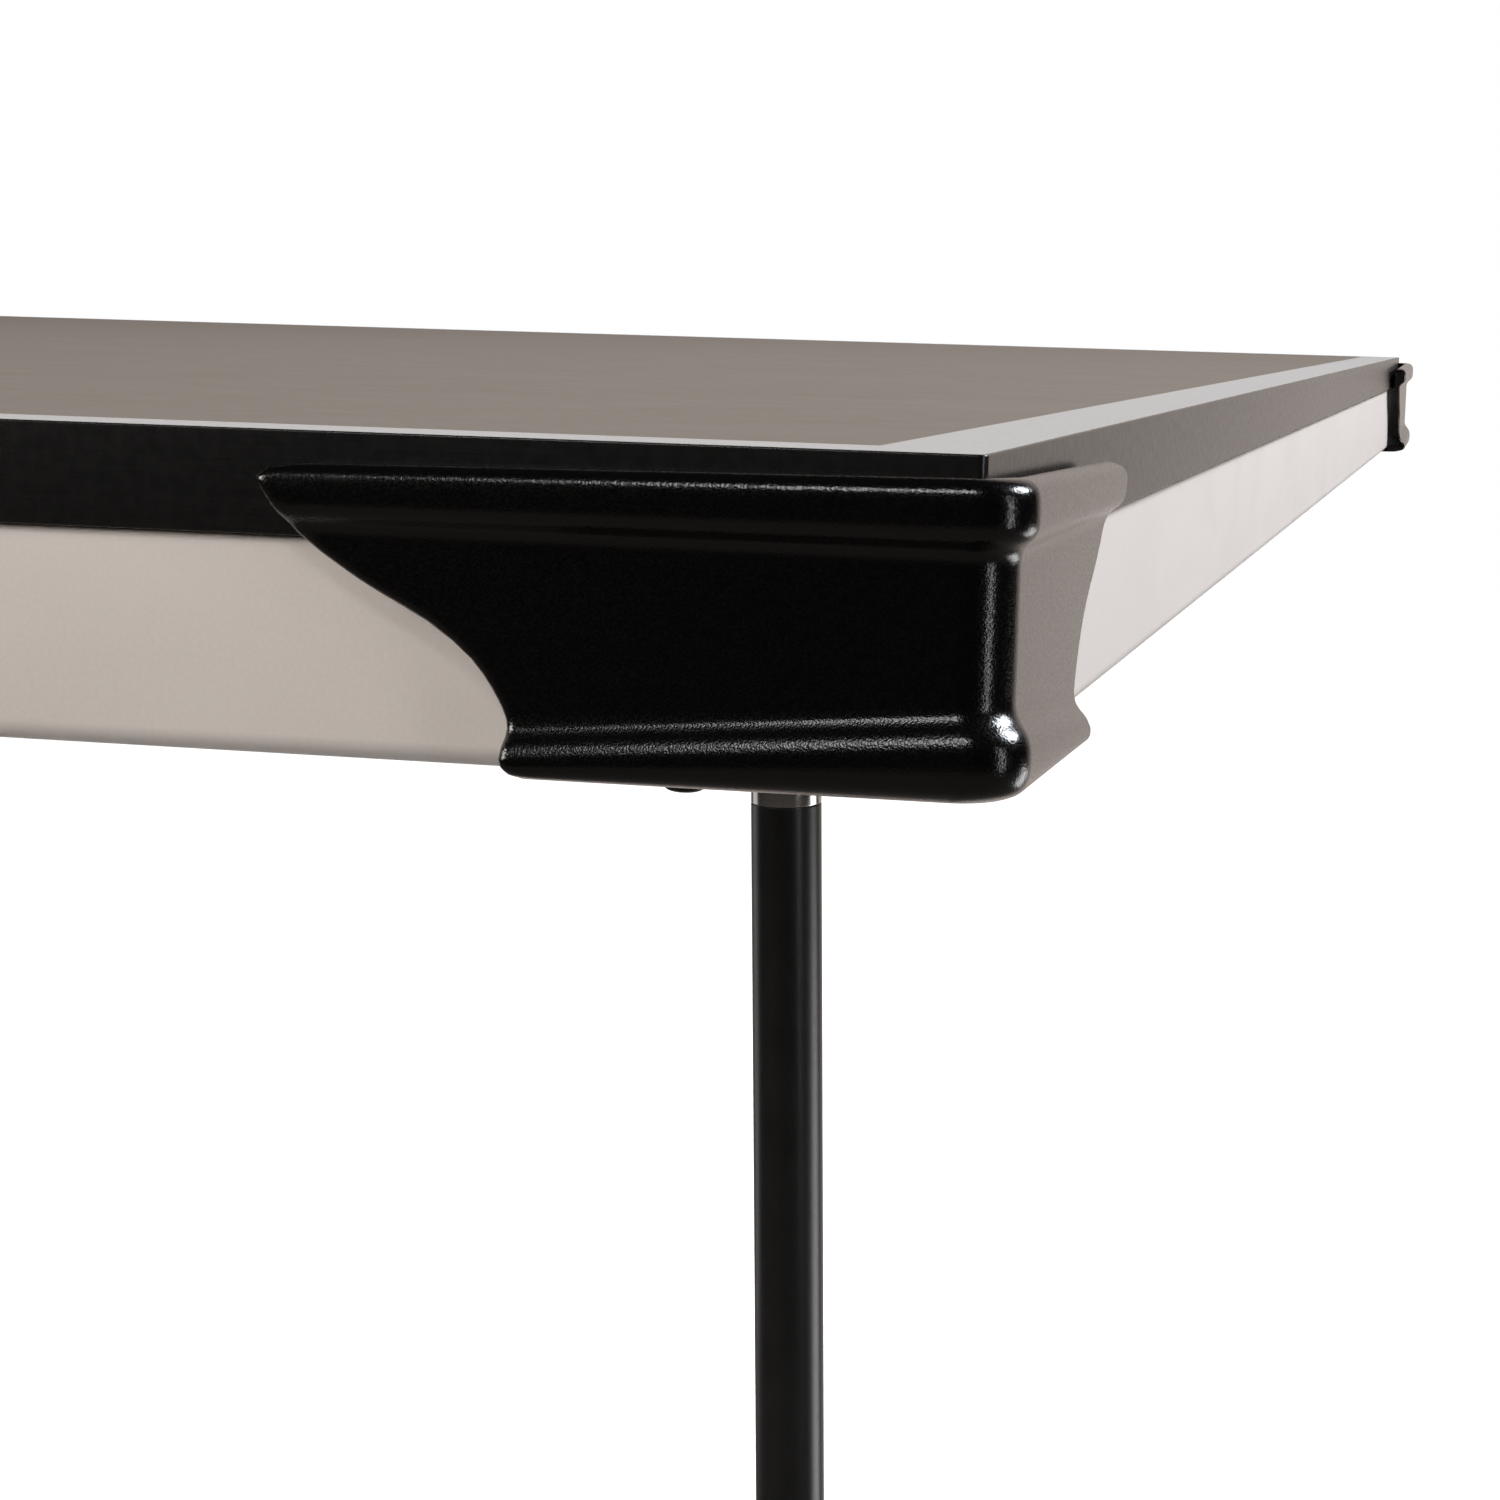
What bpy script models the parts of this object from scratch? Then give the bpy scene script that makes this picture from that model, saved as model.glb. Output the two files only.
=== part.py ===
"""Free-standing drafting table: tilting board on a steel sub-frame with four telescopic legs.

Metres, +Z up. X runs along the long side of the board, the user stands at -Y, and the origin is
on the floor under the middle of the board.
"""

import math

import bmesh
import bpy
from mathutils import Matrix, Vector

# ---------------------------------------------------------------- driving dimensions
LENGTH, DEPTH = 1.500, 1.000        # board, X and Y
TOP_Z = 0.760                       # height of the drawing surface
BOARD_T = 0.016
APRON_T = 0.018
APRON_RECESS = 0.0015               # apron face behind the board's edge
APRON_FOOT = 0.0500                 # apron underside below the drawing surface
GAP = 0.0003                        # assembly gap between pieces that touch

CAP_ARC_IN, CAP_ARC_R = 4.0, 8.5    # plan radius of the cap's corner, mm: this much over the reach, at most
CAP_LIP_FALL = 0.015                # fall of the cap's top lip along each leg, per unit of leg
CAP_SHOULDER_FALL = 0.080           # fall of the lower bead's shoulder along each leg
CAP_SCREW_S, CAP_SCREW_IN = 0.046, 0.0095
SCREW_HEAD_R, SCREW_HEAD_H, SCREW_SHANK_R = 0.00312, 0.0018, 0.0019

RAIL_W, RAIL_H, RAIL_WALL = 0.025, 0.050, 0.002
RAIL_TOP = 0.0250                   # sub-frame top below the drawing surface
LEG_X = 0.5425                      # leg axis where it meets the sub-frame
LEG_Y = {"front": -0.350, "rear": 0.1900}
LEG_ANCHOR = 0.040                  # depth of that point below the drawing surface
SPLAY_X, SPLAY_Y = 0.0482, 0.0241   # outward run per metre of drop
SOCKET = 0.046                      # corner block, square in plan
SLEEVE_R, SLEEVE_FOOT = 0.0210, 0.105
INNER_R, INNER_WALL, INNER_FOOT = 0.0160, 0.002, 0.500
TUBE_R, TUBE_WALL = 0.01905, 0.0015
FERRULE_FOOT, FERRULE_H, FERRULE_PLUG = 0.2451, 0.044, 0.018
FERRULE_BORE = INNER_R + 0.00005
BOSS_R, BOSS_OUT, BOSS_UP = 0.0080, 0.030, 0.0265
STUD_R, STUD_CLEARANCE = 0.0030, 0.00005
GLIDE_R, GLIDE_H, GLIDE_FLOOR = 0.0220, 0.032, 0.008

HINGE_X = 0.350
HINGE_Y, HINGE_Z = -0.3700, TOP_Z - 0.0235
KNUCKLE_R, PIN_R, PIN_CLEARANCE = 0.0055, 0.0025, 0.00005
HINGE_W = 0.080
TILT_MAX = 40.0                     # degrees

QUADRANT_R, QUADRANT_HALF, QUADRANT_T = 0.220, 0.015, 0.003
BOLT_Z = TOP_Z - 0.052
BOLT_R = 0.0040
SLOT_HALF = BOLT_R + 0.0004
QUADRANT_X = LEG_X - RAIL_W / 2 - 0.0006 - QUADRANT_T / 2

SEG = 40


# ---------------------------------------------------------------- helpers
def clear_scene():
    for obj in list(bpy.data.objects):
        bpy.data.objects.remove(obj, do_unlink=True)


def material(name, colour, metallic, roughness):
    mat = bpy.data.materials.new(name)
    mat.use_nodes = True
    shader = mat.node_tree.nodes["Principled BSDF"]
    shader.inputs["Base Color"].default_value = (*colour, 1.0)
    shader.inputs["Metallic"].default_value = metallic
    shader.inputs["Roughness"].default_value = roughness
    return mat


FINISHES = {
    "board": ((0.28, 0.26, 0.24), 0.0, 0.45),
    "apron": ((0.62, 0.58, 0.55), 0.0, 0.50),
    "cap": ((0.012, 0.012, 0.012), 0.0, 0.55),
    "black_paint": ((0.015, 0.015, 0.016), 0.0, 0.35),
    "steel": ((0.62, 0.62, 0.62), 1.0, 0.30),
    "chrome": ((0.75, 0.75, 0.75), 1.0, 0.08),
    "black_screw": ((0.02, 0.02, 0.02), 1.0, 0.40),
    "aluminium": ((0.70, 0.70, 0.71), 1.0, 0.35),
    "casting": ((0.30, 0.30, 0.31), 1.0, 0.55),
    "knob": ((0.018, 0.018, 0.018), 0.0, 0.50),
    "rubber": ((0.02, 0.02, 0.02), 0.0, 0.80),
}


def finish_mesh(bm):
    bmesh.ops.remove_doubles(bm, verts=bm.verts, dist=1e-6)
    bmesh.ops.dissolve_degenerate(bm, edges=bm.edges, dist=1e-7)
    bmesh.ops.recalc_face_normals(bm, faces=bm.faces)


def add_part(name, bm, finish, origin=(0.0, 0.0, 0.0)):
    """Turn a mesh in world metres into the named part, with its origin on `origin`."""
    finish_mesh(bm)
    bmesh.ops.translate(bm, verts=bm.verts, vec=-Vector(origin))
    mesh = bpy.data.meshes.new(name)
    bm.to_mesh(mesh)
    bm.free()
    mesh.materials.append(material(name, *FINISHES[finish]))
    mesh.shade_smooth()
    mesh.set_sharp_from_angle(angle=math.radians(32))
    obj = bpy.data.objects.new(name, mesh)
    obj.location = origin
    bpy.context.scene.collection.objects.link(obj)
    return obj


def combine(target, bm, operation):
    """Boolean a closed helper mesh, given in world metres, into the target part."""
    finish_mesh(bm)
    mesh = bpy.data.meshes.new(target.name + "_tool")
    bm.to_mesh(mesh)
    bm.free()
    tool = bpy.data.objects.new(target.name + "_" + operation.lower(), mesh)
    tool.display_type = "WIRE"
    tool.hide_render = True
    bpy.context.scene.collection.objects.link(tool)
    modifier = target.modifiers.new(operation.title(), "BOOLEAN")
    modifier.operation = operation
    modifier.solver = "EXACT"
    modifier.object = tool


def add_box(bm, low, high, bevel=0.0, segments=2):
    low, high = Vector(low), Vector(high)
    matrix = Matrix.Translation((low + high) / 2) @ Matrix.Diagonal((*(high - low), 1.0))
    made = bmesh.ops.create_cube(bm, size=1.0, matrix=matrix)
    if bevel:
        edges = {edge for vert in made["verts"] for edge in vert.link_edges}
        bmesh.ops.bevel(bm, geom=list(edges), offset=bevel, segments=segments,
                        profile=0.5, affect="EDGES", clamp_overlap=True)
    return bm


def add_revolve(bm, profile, frame=None, segments=SEG):
    """Turn a closed (radius, height) outline about the frame's local Z axis."""
    frame = frame or Matrix()
    rings = []
    for k in range(segments):
        turn = 2 * math.pi * k / segments
        rings.append([bm.verts.new(frame @ Vector((r * math.cos(turn), r * math.sin(turn), z)))
                      for r, z in profile])
    for k, ring in enumerate(rings):
        following = rings[(k + 1) % segments]
        for i, (r, _) in enumerate(profile):
            j = (i + 1) % len(profile)
            if r == 0.0 and profile[j][0] == 0.0:
                continue
            bm.faces.new((ring[i], following[i], following[j], ring[j]))
    return bm


def add_cylinder(bm, radius, low, high, frame=None, segments=SEG):
    return add_revolve(bm, [(0.0, low), (radius, low), (radius, high), (0.0, high)], frame, segments)


def add_tube(bm, outer, inner, low, high, frame=None, segments=SEG):
    return add_revolve(bm, [(inner, low), (outer, low), (outer, high), (inner, high)], frame, segments)


def add_prism(bm, outline, low, high, frame=None):
    """Extrude a closed 2-D outline along the frame's local Z axis."""
    frame = frame or Matrix()
    ends = [[bm.verts.new(frame @ Vector((x, y, z))) for x, y in outline] for z in (low, high)]
    count = len(outline)
    for i in range(count):
        j = (i + 1) % count
        bm.faces.new((ends[0][i], ends[0][j], ends[1][j], ends[1][i]))
    bm.faces.new(ends[0][::-1])
    bm.faces.new(ends[1])
    return bm


def axes_frame(origin, x_axis, z_axis):
    """Frame at `origin` with local Z along z_axis and local X as near x_axis as that allows."""
    z_axis = Vector(z_axis).normalized()
    x_axis = Vector(x_axis)
    x_axis = (x_axis - x_axis.dot(z_axis) * z_axis).normalized()
    y_axis = z_axis.cross(x_axis)
    frame = Matrix((x_axis, y_axis, z_axis)).transposed().to_4x4()
    return Matrix.Translation(Vector(origin)) @ frame


ALONG_X = axes_frame((0, 0, 0), (0, 1, 0), (1, 0, 0))   # local X -> +Y, local Y -> +Z, local Z -> +X


# ---------------------------------------------------------------- board, aprons and ledge
def build_board():
    bm = bmesh.new()
    add_box(bm, (-LENGTH / 2, -DEPTH / 2, TOP_Z - BOARD_T), (LENGTH / 2, DEPTH / 2, TOP_Z), 0.0006, 2)
    add_part("board", bm, "board")


def apron_outline(sign):
    """Cross-section of an apron as (outward, up), with its lower outer edge rounded."""
    radius = 0.0034
    outline = [(-APRON_T, -APRON_FOOT), (-APRON_T, -BOARD_T - GAP), (-0.0004, -BOARD_T - GAP),
               (0.0, -BOARD_T - GAP - 0.0004)]
    for step in range(7):
        turn = math.radians(90 * step / 6)
        outline.append((-radius + radius * math.cos(turn), -APRON_FOOT + radius - radius * math.sin(turn)))
    return [(sign * (out - APRON_RECESS), up + TOP_Z) for out, up in outline]


def build_aprons():
    long_half = LENGTH / 2 - APRON_RECESS
    short_half = DEPTH / 2 - APRON_RECESS - APRON_T - GAP
    for name, sign in (("apron_front", -1), ("apron_rear", 1)):
        outline = [(y + sign * DEPTH / 2, z) for y, z in apron_outline(sign)]
        part = add_part(name, add_prism(bmesh.new(), outline, -long_half, long_half, ALONG_X), "apron")
        drill_cap_holes(part, [(sx, sign, False) for sx in (-1, 1)])
    along_y = axes_frame((0, 0, 0), (1, 0, 0), (0, -1, 0))      # local Y -> +Z, local Z -> -Y
    for name, sign in (("apron_left", -1), ("apron_right", 1)):
        outline = [(x + sign * LENGTH / 2, z) for x, z in apron_outline(sign)]
        part = add_part(name, add_prism(bmesh.new(), outline, -short_half, short_half, along_y), "apron")
        drill_cap_holes(part, [(sign, sy, True) for sy in (-1, 1)])


def cap_screw_points(sx, sy):
    """Screw axes of the cap at corner (sx, sy): one under each leg of the cap."""
    return {False: (sx * (LENGTH / 2 - CAP_SCREW_S), sy * (DEPTH / 2 - CAP_SCREW_IN)),
            True: (sx * (LENGTH / 2 - CAP_SCREW_IN), sy * (DEPTH / 2 - CAP_SCREW_S))}


def drill_cap_holes(part, corners):
    bm = bmesh.new()
    for sx, sy, on_end in corners:
        x, y = cap_screw_points(sx, sy)[on_end]
        add_cylinder(bm, SCREW_SHANK_R + GAP, -APRON_FOOT - 0.005, -APRON_FOOT + 0.0145,
                     Matrix.Translation((x, y, TOP_Z)), 16)
    combine(part, bm, "DIFFERENCE")


def build_ledge():
    """Aluminium pencil ledge on the front edge of the board: tray, front lip and low rear rib."""
    y0, y1, z0 = -DEPTH / 2 + 0.003, -DEPTH / 2 + 0.043, TOP_Z + GAP
    outline = [(y0, z0), (y1, z0), (y1, z0 + 0.0035), (y1 - 0.0015, z0 + 0.005), (y1 - 0.003, z0 + 0.0035),
               (y1 - 0.003, z0 + 0.0018), (y0 + 0.0024, z0 + 0.0018), (y0 + 0.0018, z0 + 0.0112),
               (y0 + 0.0009, z0 + 0.0118), (y0, z0 + 0.0112)]
    add_part("pencil_ledge", add_prism(bmesh.new(), outline, -0.450, 0.450, ALONG_X), "aluminium")


# ---------------------------------------------------------------- corner caps
# Matched (outer, inner) points of the cap's wall at the corner, from its top lip down to the tip of
# its flange, as millimetres (outward from the board's edge, up from the drawing surface).
CAP_SECTION = (
    ((5.2, -3.2), (3.6, -3.4)), ((6.6, -3.6), (3.0, -3.9)), ((7.6, -4.8), (2.6, -5.0)),
    ((8.0, -6.8), (2.5, -7.6)), ((8.0, -9.9), (2.5, -10.2)), ((7.2, -12.0), (2.5, -12.0)),
    ((5.7, -13.6), (2.5, -14.2)), ((5.0, -15.8), (2.5, -16.4)), ((5.0, -17.4), (-1.2, -16.4)),
    ((5.0, -20.6), (-1.2, -20.6)), ((5.0, -24.0), (-1.2, -24.0)), ((5.0, -27.5), (-1.2, -27.5)),
    ((5.0, -31.5), (-1.2, -31.5)), ((5.0, -36.2), (-1.2, -36.2)), ((5.8, -38.3), (-1.2, -38.3)),
    ((7.3, -40.5), (-1.2, -40.5)), ((8.0, -43.0), (-1.2, -43.0)), ((7.9, -45.7), (-1.2, -45.7)),
    ((7.0, -48.3), (-1.2, -48.0)), ((5.2, -50.0), (-1.2, -49.2)), ((2.8, -50.8), (-1.2, -50.1)),
    ((-1.2, -51.0), (-4.9, -50.1)), ((-15.0, -51.0), (-15.0, -50.1)),
)
# Where the cap's legs end, as millimetres (height, distance from the board's corner).
CAP_END = ((-4.6, 103.6), (-5.5, 107.9), (-6.8, 109.2), (-8.4, 108.5), (-10.7, 106.9), (-15.2, 103.5),
           (-18.1, 99.6), (-21.2, 94.8), (-24.2, 89.4), (-26.7, 84.5), (-29.2, 80.5), (-32.5, 76.4),
           (-35.8, 73.6), (-39.9, 71.1), (-43.0, 70.15), (-47.5, 70.6), (-49.7, 69.4), (-51.0, 68.4))
# Share of the lower shoulder's fall that each height takes.
CAP_SHOULDER = ((-26.0, 0.0), (-37.3, 1.0), (-41.4, 0.91), (-44.8, 0.62), (-48.0, 0.25), (-50.0, 0.0))
CAP_ARC_STEPS = 5


def between(table, z_mm):
    """Value at a height in a table that runs downward."""
    if z_mm >= table[0][0]:
        return table[0][1]
    for (za, va), (zb, vb) in zip(table, table[1:]):
        if z_mm >= zb:
            return va + (vb - va) * (za - z_mm) / (za - zb)
    return table[-1][1]


def cap_height(run_mm, z_mm):
    """Both beads taper along each leg: the lip falls slightly, the lower shoulder more."""
    lip = min(max((z_mm + 14.0) / 10.0, 0.0), 1.0)
    return z_mm - run_mm * (CAP_LIP_FALL * lip + CAP_SHOULDER_FALL * between(CAP_SHOULDER, z_mm))


def cap_end(z_mm):
    """Distance from the board's corner at which a cap leg ends, for a point of the corner section."""
    end = 90.0
    for _ in range(20):
        end = between(CAP_END, cap_height(end, z_mm))
    return end


def cap_track(out_mm, end_mm, rounded):
    """Plan line of one section point: along the first leg, round the corner, along the second."""
    radius = min(max(out_mm + CAP_ARC_IN, 0.0), CAP_ARC_R) if rounded else 0.0
    turn_at = out_mm - radius
    points = [(-end_mm, out_mm)]
    for step in range(CAP_ARC_STEPS + 1):
        turn = math.radians(90 - 90 * step / CAP_ARC_STEPS)
        points.append((turn_at + radius * math.cos(turn), turn_at + radius * math.sin(turn)))
    points.append((out_mm, -end_mm))
    return points


def cap_mesh(sx, sy):
    bm = bmesh.new()
    corner = Vector((sx * LENGTH / 2, sy * DEPTH / 2, TOP_Z))

    def row(point, rounded):
        out, z = point
        return [bm.verts.new(corner + Vector((sx * x, sy * y, cap_height(max(-min(x, y), 0.0), z))) / 1000)
                for x, y in cap_track(out, cap_end(z), rounded)]

    outer = [row(pair[0], True) for pair in CAP_SECTION]
    inner = [row(pair[1], False) for pair in CAP_SECTION]
    stations, last = len(outer[0]), len(outer) - 1
    for i in range(last):
        for k in range(stations - 1):
            bm.faces.new((outer[i][k], outer[i][k + 1], outer[i + 1][k + 1], outer[i + 1][k]))
            bm.faces.new((inner[i][k], inner[i + 1][k], inner[i + 1][k + 1], inner[i][k + 1]))
        for k in (0, stations - 1):
            bm.faces.new((outer[i][k], outer[i + 1][k], inner[i + 1][k], inner[i][k]))
    for i in (0, last):
        for k in range(stations - 1):
            bm.faces.new((outer[i][k], inner[i][k], inner[i][k + 1], outer[i][k + 1]))
    return bm


def build_caps():
    for row, sy in (("front", -1), ("rear", 1)):
        for side, sx in (("left", -1), ("right", 1)):
            cap = add_part(f"corner_cap_{row}_{side}", cap_mesh(sx, sy), "cap")
            holes = bmesh.new()
            for on_end, (x, y) in cap_screw_points(sx, sy).items():
                frame = Matrix.Translation((x, y, TOP_Z))
                add_cylinder(holes, SCREW_SHANK_R + GAP, -0.054, -0.0480, frame, 16)
                build_cap_screw(f"cap_screw_{row}_{side}_{'end' if on_end else 'side'}", frame)
            combine(cap, holes, "DIFFERENCE")


def build_cap_screw(name, frame):
    """Dome-headed wood screw seen from below: head under the flange, shank up into the apron."""
    seat = -0.0510 - GAP
    profile = [(0.0, seat - SCREW_HEAD_H)]
    for step in range(1, 6):
        turn = math.radians(90 * step / 6)
        profile.append((SCREW_HEAD_R * math.sin(turn), seat - 0.0004 - (SCREW_HEAD_H - 0.0004) * math.cos(turn)))
    profile += [(SCREW_HEAD_R, seat - 0.0004), (SCREW_HEAD_R, seat), (SCREW_SHANK_R, seat),
                (SCREW_SHANK_R, seat + 0.0125), (0.0, seat + 0.0145)]
    add_part(name, add_revolve(bmesh.new(), profile, frame, 16), "black_screw")


# ---------------------------------------------------------------- sub-frame
def add_rail(bm, centre, half_length, along):
    """Rectangular steel tube, open at both ends."""
    frame = ALONG_X if along == "X" else axes_frame((0, 0, 0), (1, 0, 0), (0, -1, 0))
    frame = Matrix.Translation(centre) @ frame
    rings = []
    for inset in (0.0, RAIL_WALL):
        w, h = RAIL_W / 2 - inset, RAIL_H / 2 - inset
        rings.append([(-w, -h), (w, -h), (w, h), (-w, h)])
    ends = [[[bm.verts.new(frame @ Vector((x, y, z))) for x, y in ring] for ring in rings]
            for z in (-half_length, half_length)]
    for i in range(4):
        j = (i + 1) % 4
        bm.faces.new((ends[0][0][i], ends[0][0][j], ends[1][0][j], ends[1][0][i]))
        bm.faces.new((ends[0][1][i], ends[1][1][i], ends[1][1][j], ends[0][1][j]))
        for end in ends:
            bm.faces.new((end[0][i], end[0][j], end[1][j], end[1][i]))
    return bm


def build_rails():
    rail_z = TOP_Z - RAIL_TOP - RAIL_H / 2
    half = LEG_X - SOCKET / 2 - GAP
    for row in ("front", "rear"):
        add_part(f"rail_{row}", add_rail(bmesh.new(), (0.0, LEG_Y[row], rail_z), half, "X"), "black_paint")
    middle = (LEG_Y["front"] + LEG_Y["rear"]) / 2
    half = (LEG_Y["rear"] - LEG_Y["front"]) / 2 - SOCKET / 2 - GAP
    for side, sx in (("left", -1), ("right", 1)):
        rail = add_part(f"rail_{side}", add_rail(bmesh.new(), (sx * LEG_X, middle, rail_z), half, "Y"),
                        "black_paint")
        hole = add_cylinder(bmesh.new(), BOLT_R + GAP, sx * LEG_X - 0.03, sx * LEG_X + 0.03,
                            Matrix.Translation((0, bolt_y(), BOLT_Z)) @ ALONG_X, 32)
        combine(rail, hole, "DIFFERENCE")
    for side, sx in (("left", -1), ("right", 1)):
        frame = Matrix.Translation((sx * 0.36, LEG_Y["rear"], TOP_Z - RAIL_TOP))
        profile = [(0.0, GAP), (0.0095, GAP), (0.0100, 0.0010), (0.0092, RAIL_TOP - BOARD_T - GAP - 0.0006),
                   (0.0086, RAIL_TOP - BOARD_T - GAP), (0.0, RAIL_TOP - BOARD_T - GAP)]
        add_part(f"rest_buffer_{side}", add_revolve(bmesh.new(), profile, frame, 32), "rubber")


# ---------------------------------------------------------------- legs
def leg_frame(sx, row):
    """Leg axis: origin where it meets the sub-frame, local Z up the leg, local X outward."""
    sy = -1 if row == "front" else 1
    up = Vector((-sx * SPLAY_X, -sy * SPLAY_Y, 1.0))
    return axes_frame((sx * LEG_X, LEG_Y[row], TOP_Z - LEG_ANCHOR), (sx, 0, 0), up)


def down_leg(depth):
    """Local height on the leg axis at a depth below the drawing surface."""
    return -(depth - LEG_ANCHOR) * math.sqrt(1 + SPLAY_X ** 2 + SPLAY_Y ** 2)


def lobed_knob(bm, frame, lobes, radius, scallop, heights, segments=40):
    """Hand knob whose grip is scalloped; heights are (height, radius share, scallop share)."""
    rings = []
    for height, share, depth in heights:
        ring = []
        for k in range(segments):
            turn = 2 * math.pi * k / segments
            r = share * radius - depth * scallop * (0.5 - 0.5 * math.cos(lobes * turn))
            ring.append(bm.verts.new(frame @ Vector((r * math.cos(turn), r * math.sin(turn), height))))
        rings.append(ring)
    for low, high in zip(rings, rings[1:]):
        for k in range(segments):
            n = (k + 1) % segments
            bm.faces.new((low[k], low[n], high[n], high[k]))
    bm.faces.new(rings[0][::-1])
    bm.faces.new(rings[-1])
    return bm


def build_leg(sx, side, row):
    frame = leg_frame(sx, row)
    tag = f"{row}_{side}"
    axis_top = frame.to_translation()
    block_low, block_high = TOP_Z - RAIL_TOP - RAIL_H - 0.001, TOP_Z - RAIL_TOP + 0.001
    x, y = sx * LEG_X, LEG_Y[row]
    half = SOCKET / 2
    socket = add_part(f"socket_{tag}", add_box(bmesh.new(), (x - half, y - half, block_low),
                      (x + half, y + half, block_high), 0.002, 2), "casting")
    combine(socket, add_cylinder(bmesh.new(), SLEEVE_R, down_leg(SLEEVE_FOOT), down_leg(0.060), frame), "UNION")
    combine(socket, add_cylinder(bmesh.new(), INNER_R + GAP, down_leg(0.130), down_leg(0.034), frame),
            "DIFFERENCE")
    inner = add_tube(bmesh.new(), INNER_R, INNER_R - INNER_WALL, down_leg(INNER_FOOT), down_leg(0.036), frame)
    add_part(f"inner_tube_{tag}", inner, "chrome")

    low = down_leg(FERRULE_FOOT)
    knob_z = low + BOSS_UP
    body = [(0.0, low - FERRULE_PLUG), (TUBE_R - TUBE_WALL - GAP, low - FERRULE_PLUG),
            (TUBE_R - TUBE_WALL - GAP, low), (TUBE_R, low), (TUBE_R, low + FERRULE_H - 0.0015),
            (TUBE_R - 0.0015, low + FERRULE_H), (0.0, low + FERRULE_H)]
    ferrule = add_part(f"ferrule_{tag}", add_revolve(bmesh.new(), body, frame), "chrome", axis_top)
    outward = frame @ axes_frame((0, 0, knob_z), (0, 0, 1), (1, 0, 0))
    combine(ferrule, add_cylinder(bmesh.new(), BOSS_R, 0.010, BOSS_OUT, outward, 32), "UNION")
    combine(ferrule, add_cylinder(bmesh.new(), FERRULE_BORE, low - 0.05, low + 0.08, frame), "DIFFERENCE")
    combine(ferrule, add_cylinder(bmesh.new(), STUD_R + STUD_CLEARANCE, 0.012, 0.040, outward, 24),
            "DIFFERENCE")

    tube_low = down_leg(TOP_Z) + 0.0105
    tube = add_tube(bmesh.new(), TUBE_R, TUBE_R - TUBE_WALL, tube_low, low - GAP, frame)
    add_part(f"outer_tube_{tag}", tube, "black_paint", axis_top)

    floor = down_leg(TOP_Z)
    rim = tube_low + GLIDE_H - 0.0105
    cup = [(0.0, floor - 0.010), (GLIDE_R, floor - 0.010), (GLIDE_R, rim - 0.002), (GLIDE_R - 0.0015, rim),
           (TUBE_R + GAP, rim), (TUBE_R + GAP, tube_low - GAP), (0.0, tube_low - GAP)]
    bm = add_revolve(bmesh.new(), cup, frame)
    finish_mesh(bm)
    bmesh.ops.bisect_plane(bm, geom=bm.verts[:] + bm.edges[:] + bm.faces[:], plane_co=(0, 0, 0),
                           plane_no=(0, 0, 1), clear_inner=True)
    bmesh.ops.holes_fill(bm, edges=[edge for edge in bm.edges if edge.is_boundary])
    add_part(f"foot_glide_{tag}", bm, "rubber", axis_top)

    knob = lobed_knob(bmesh.new(), outward, 5, 0.0160, 0.0030,
                      ((BOSS_OUT + 0.0006, 0.55, 0.0), (BOSS_OUT + 0.0030, 0.60, 0.0), (BOSS_OUT + 0.0050, 0.92, 1.0),
                       (BOSS_OUT + 0.0065, 1.0, 1.0), (BOSS_OUT + 0.0150, 1.0, 1.0), (BOSS_OUT + 0.0170, 0.93, 1.0),
                       (BOSS_OUT + 0.0180, 0.78, 0.8)))
    part = add_part(f"leg_knob_{tag}", knob, "knob", outward.to_translation())
    stud = add_cylinder(bmesh.new(), STUD_R, INNER_R + GAP, BOSS_OUT + 0.004, outward, 24)
    combine(part, stud, "UNION")


# ---------------------------------------------------------------- hinge and tilt clamp
def bolt_y():
    return HINGE_Y + math.sqrt(QUADRANT_R ** 2 - (BOLT_Z - HINGE_Z) ** 2)


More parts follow.
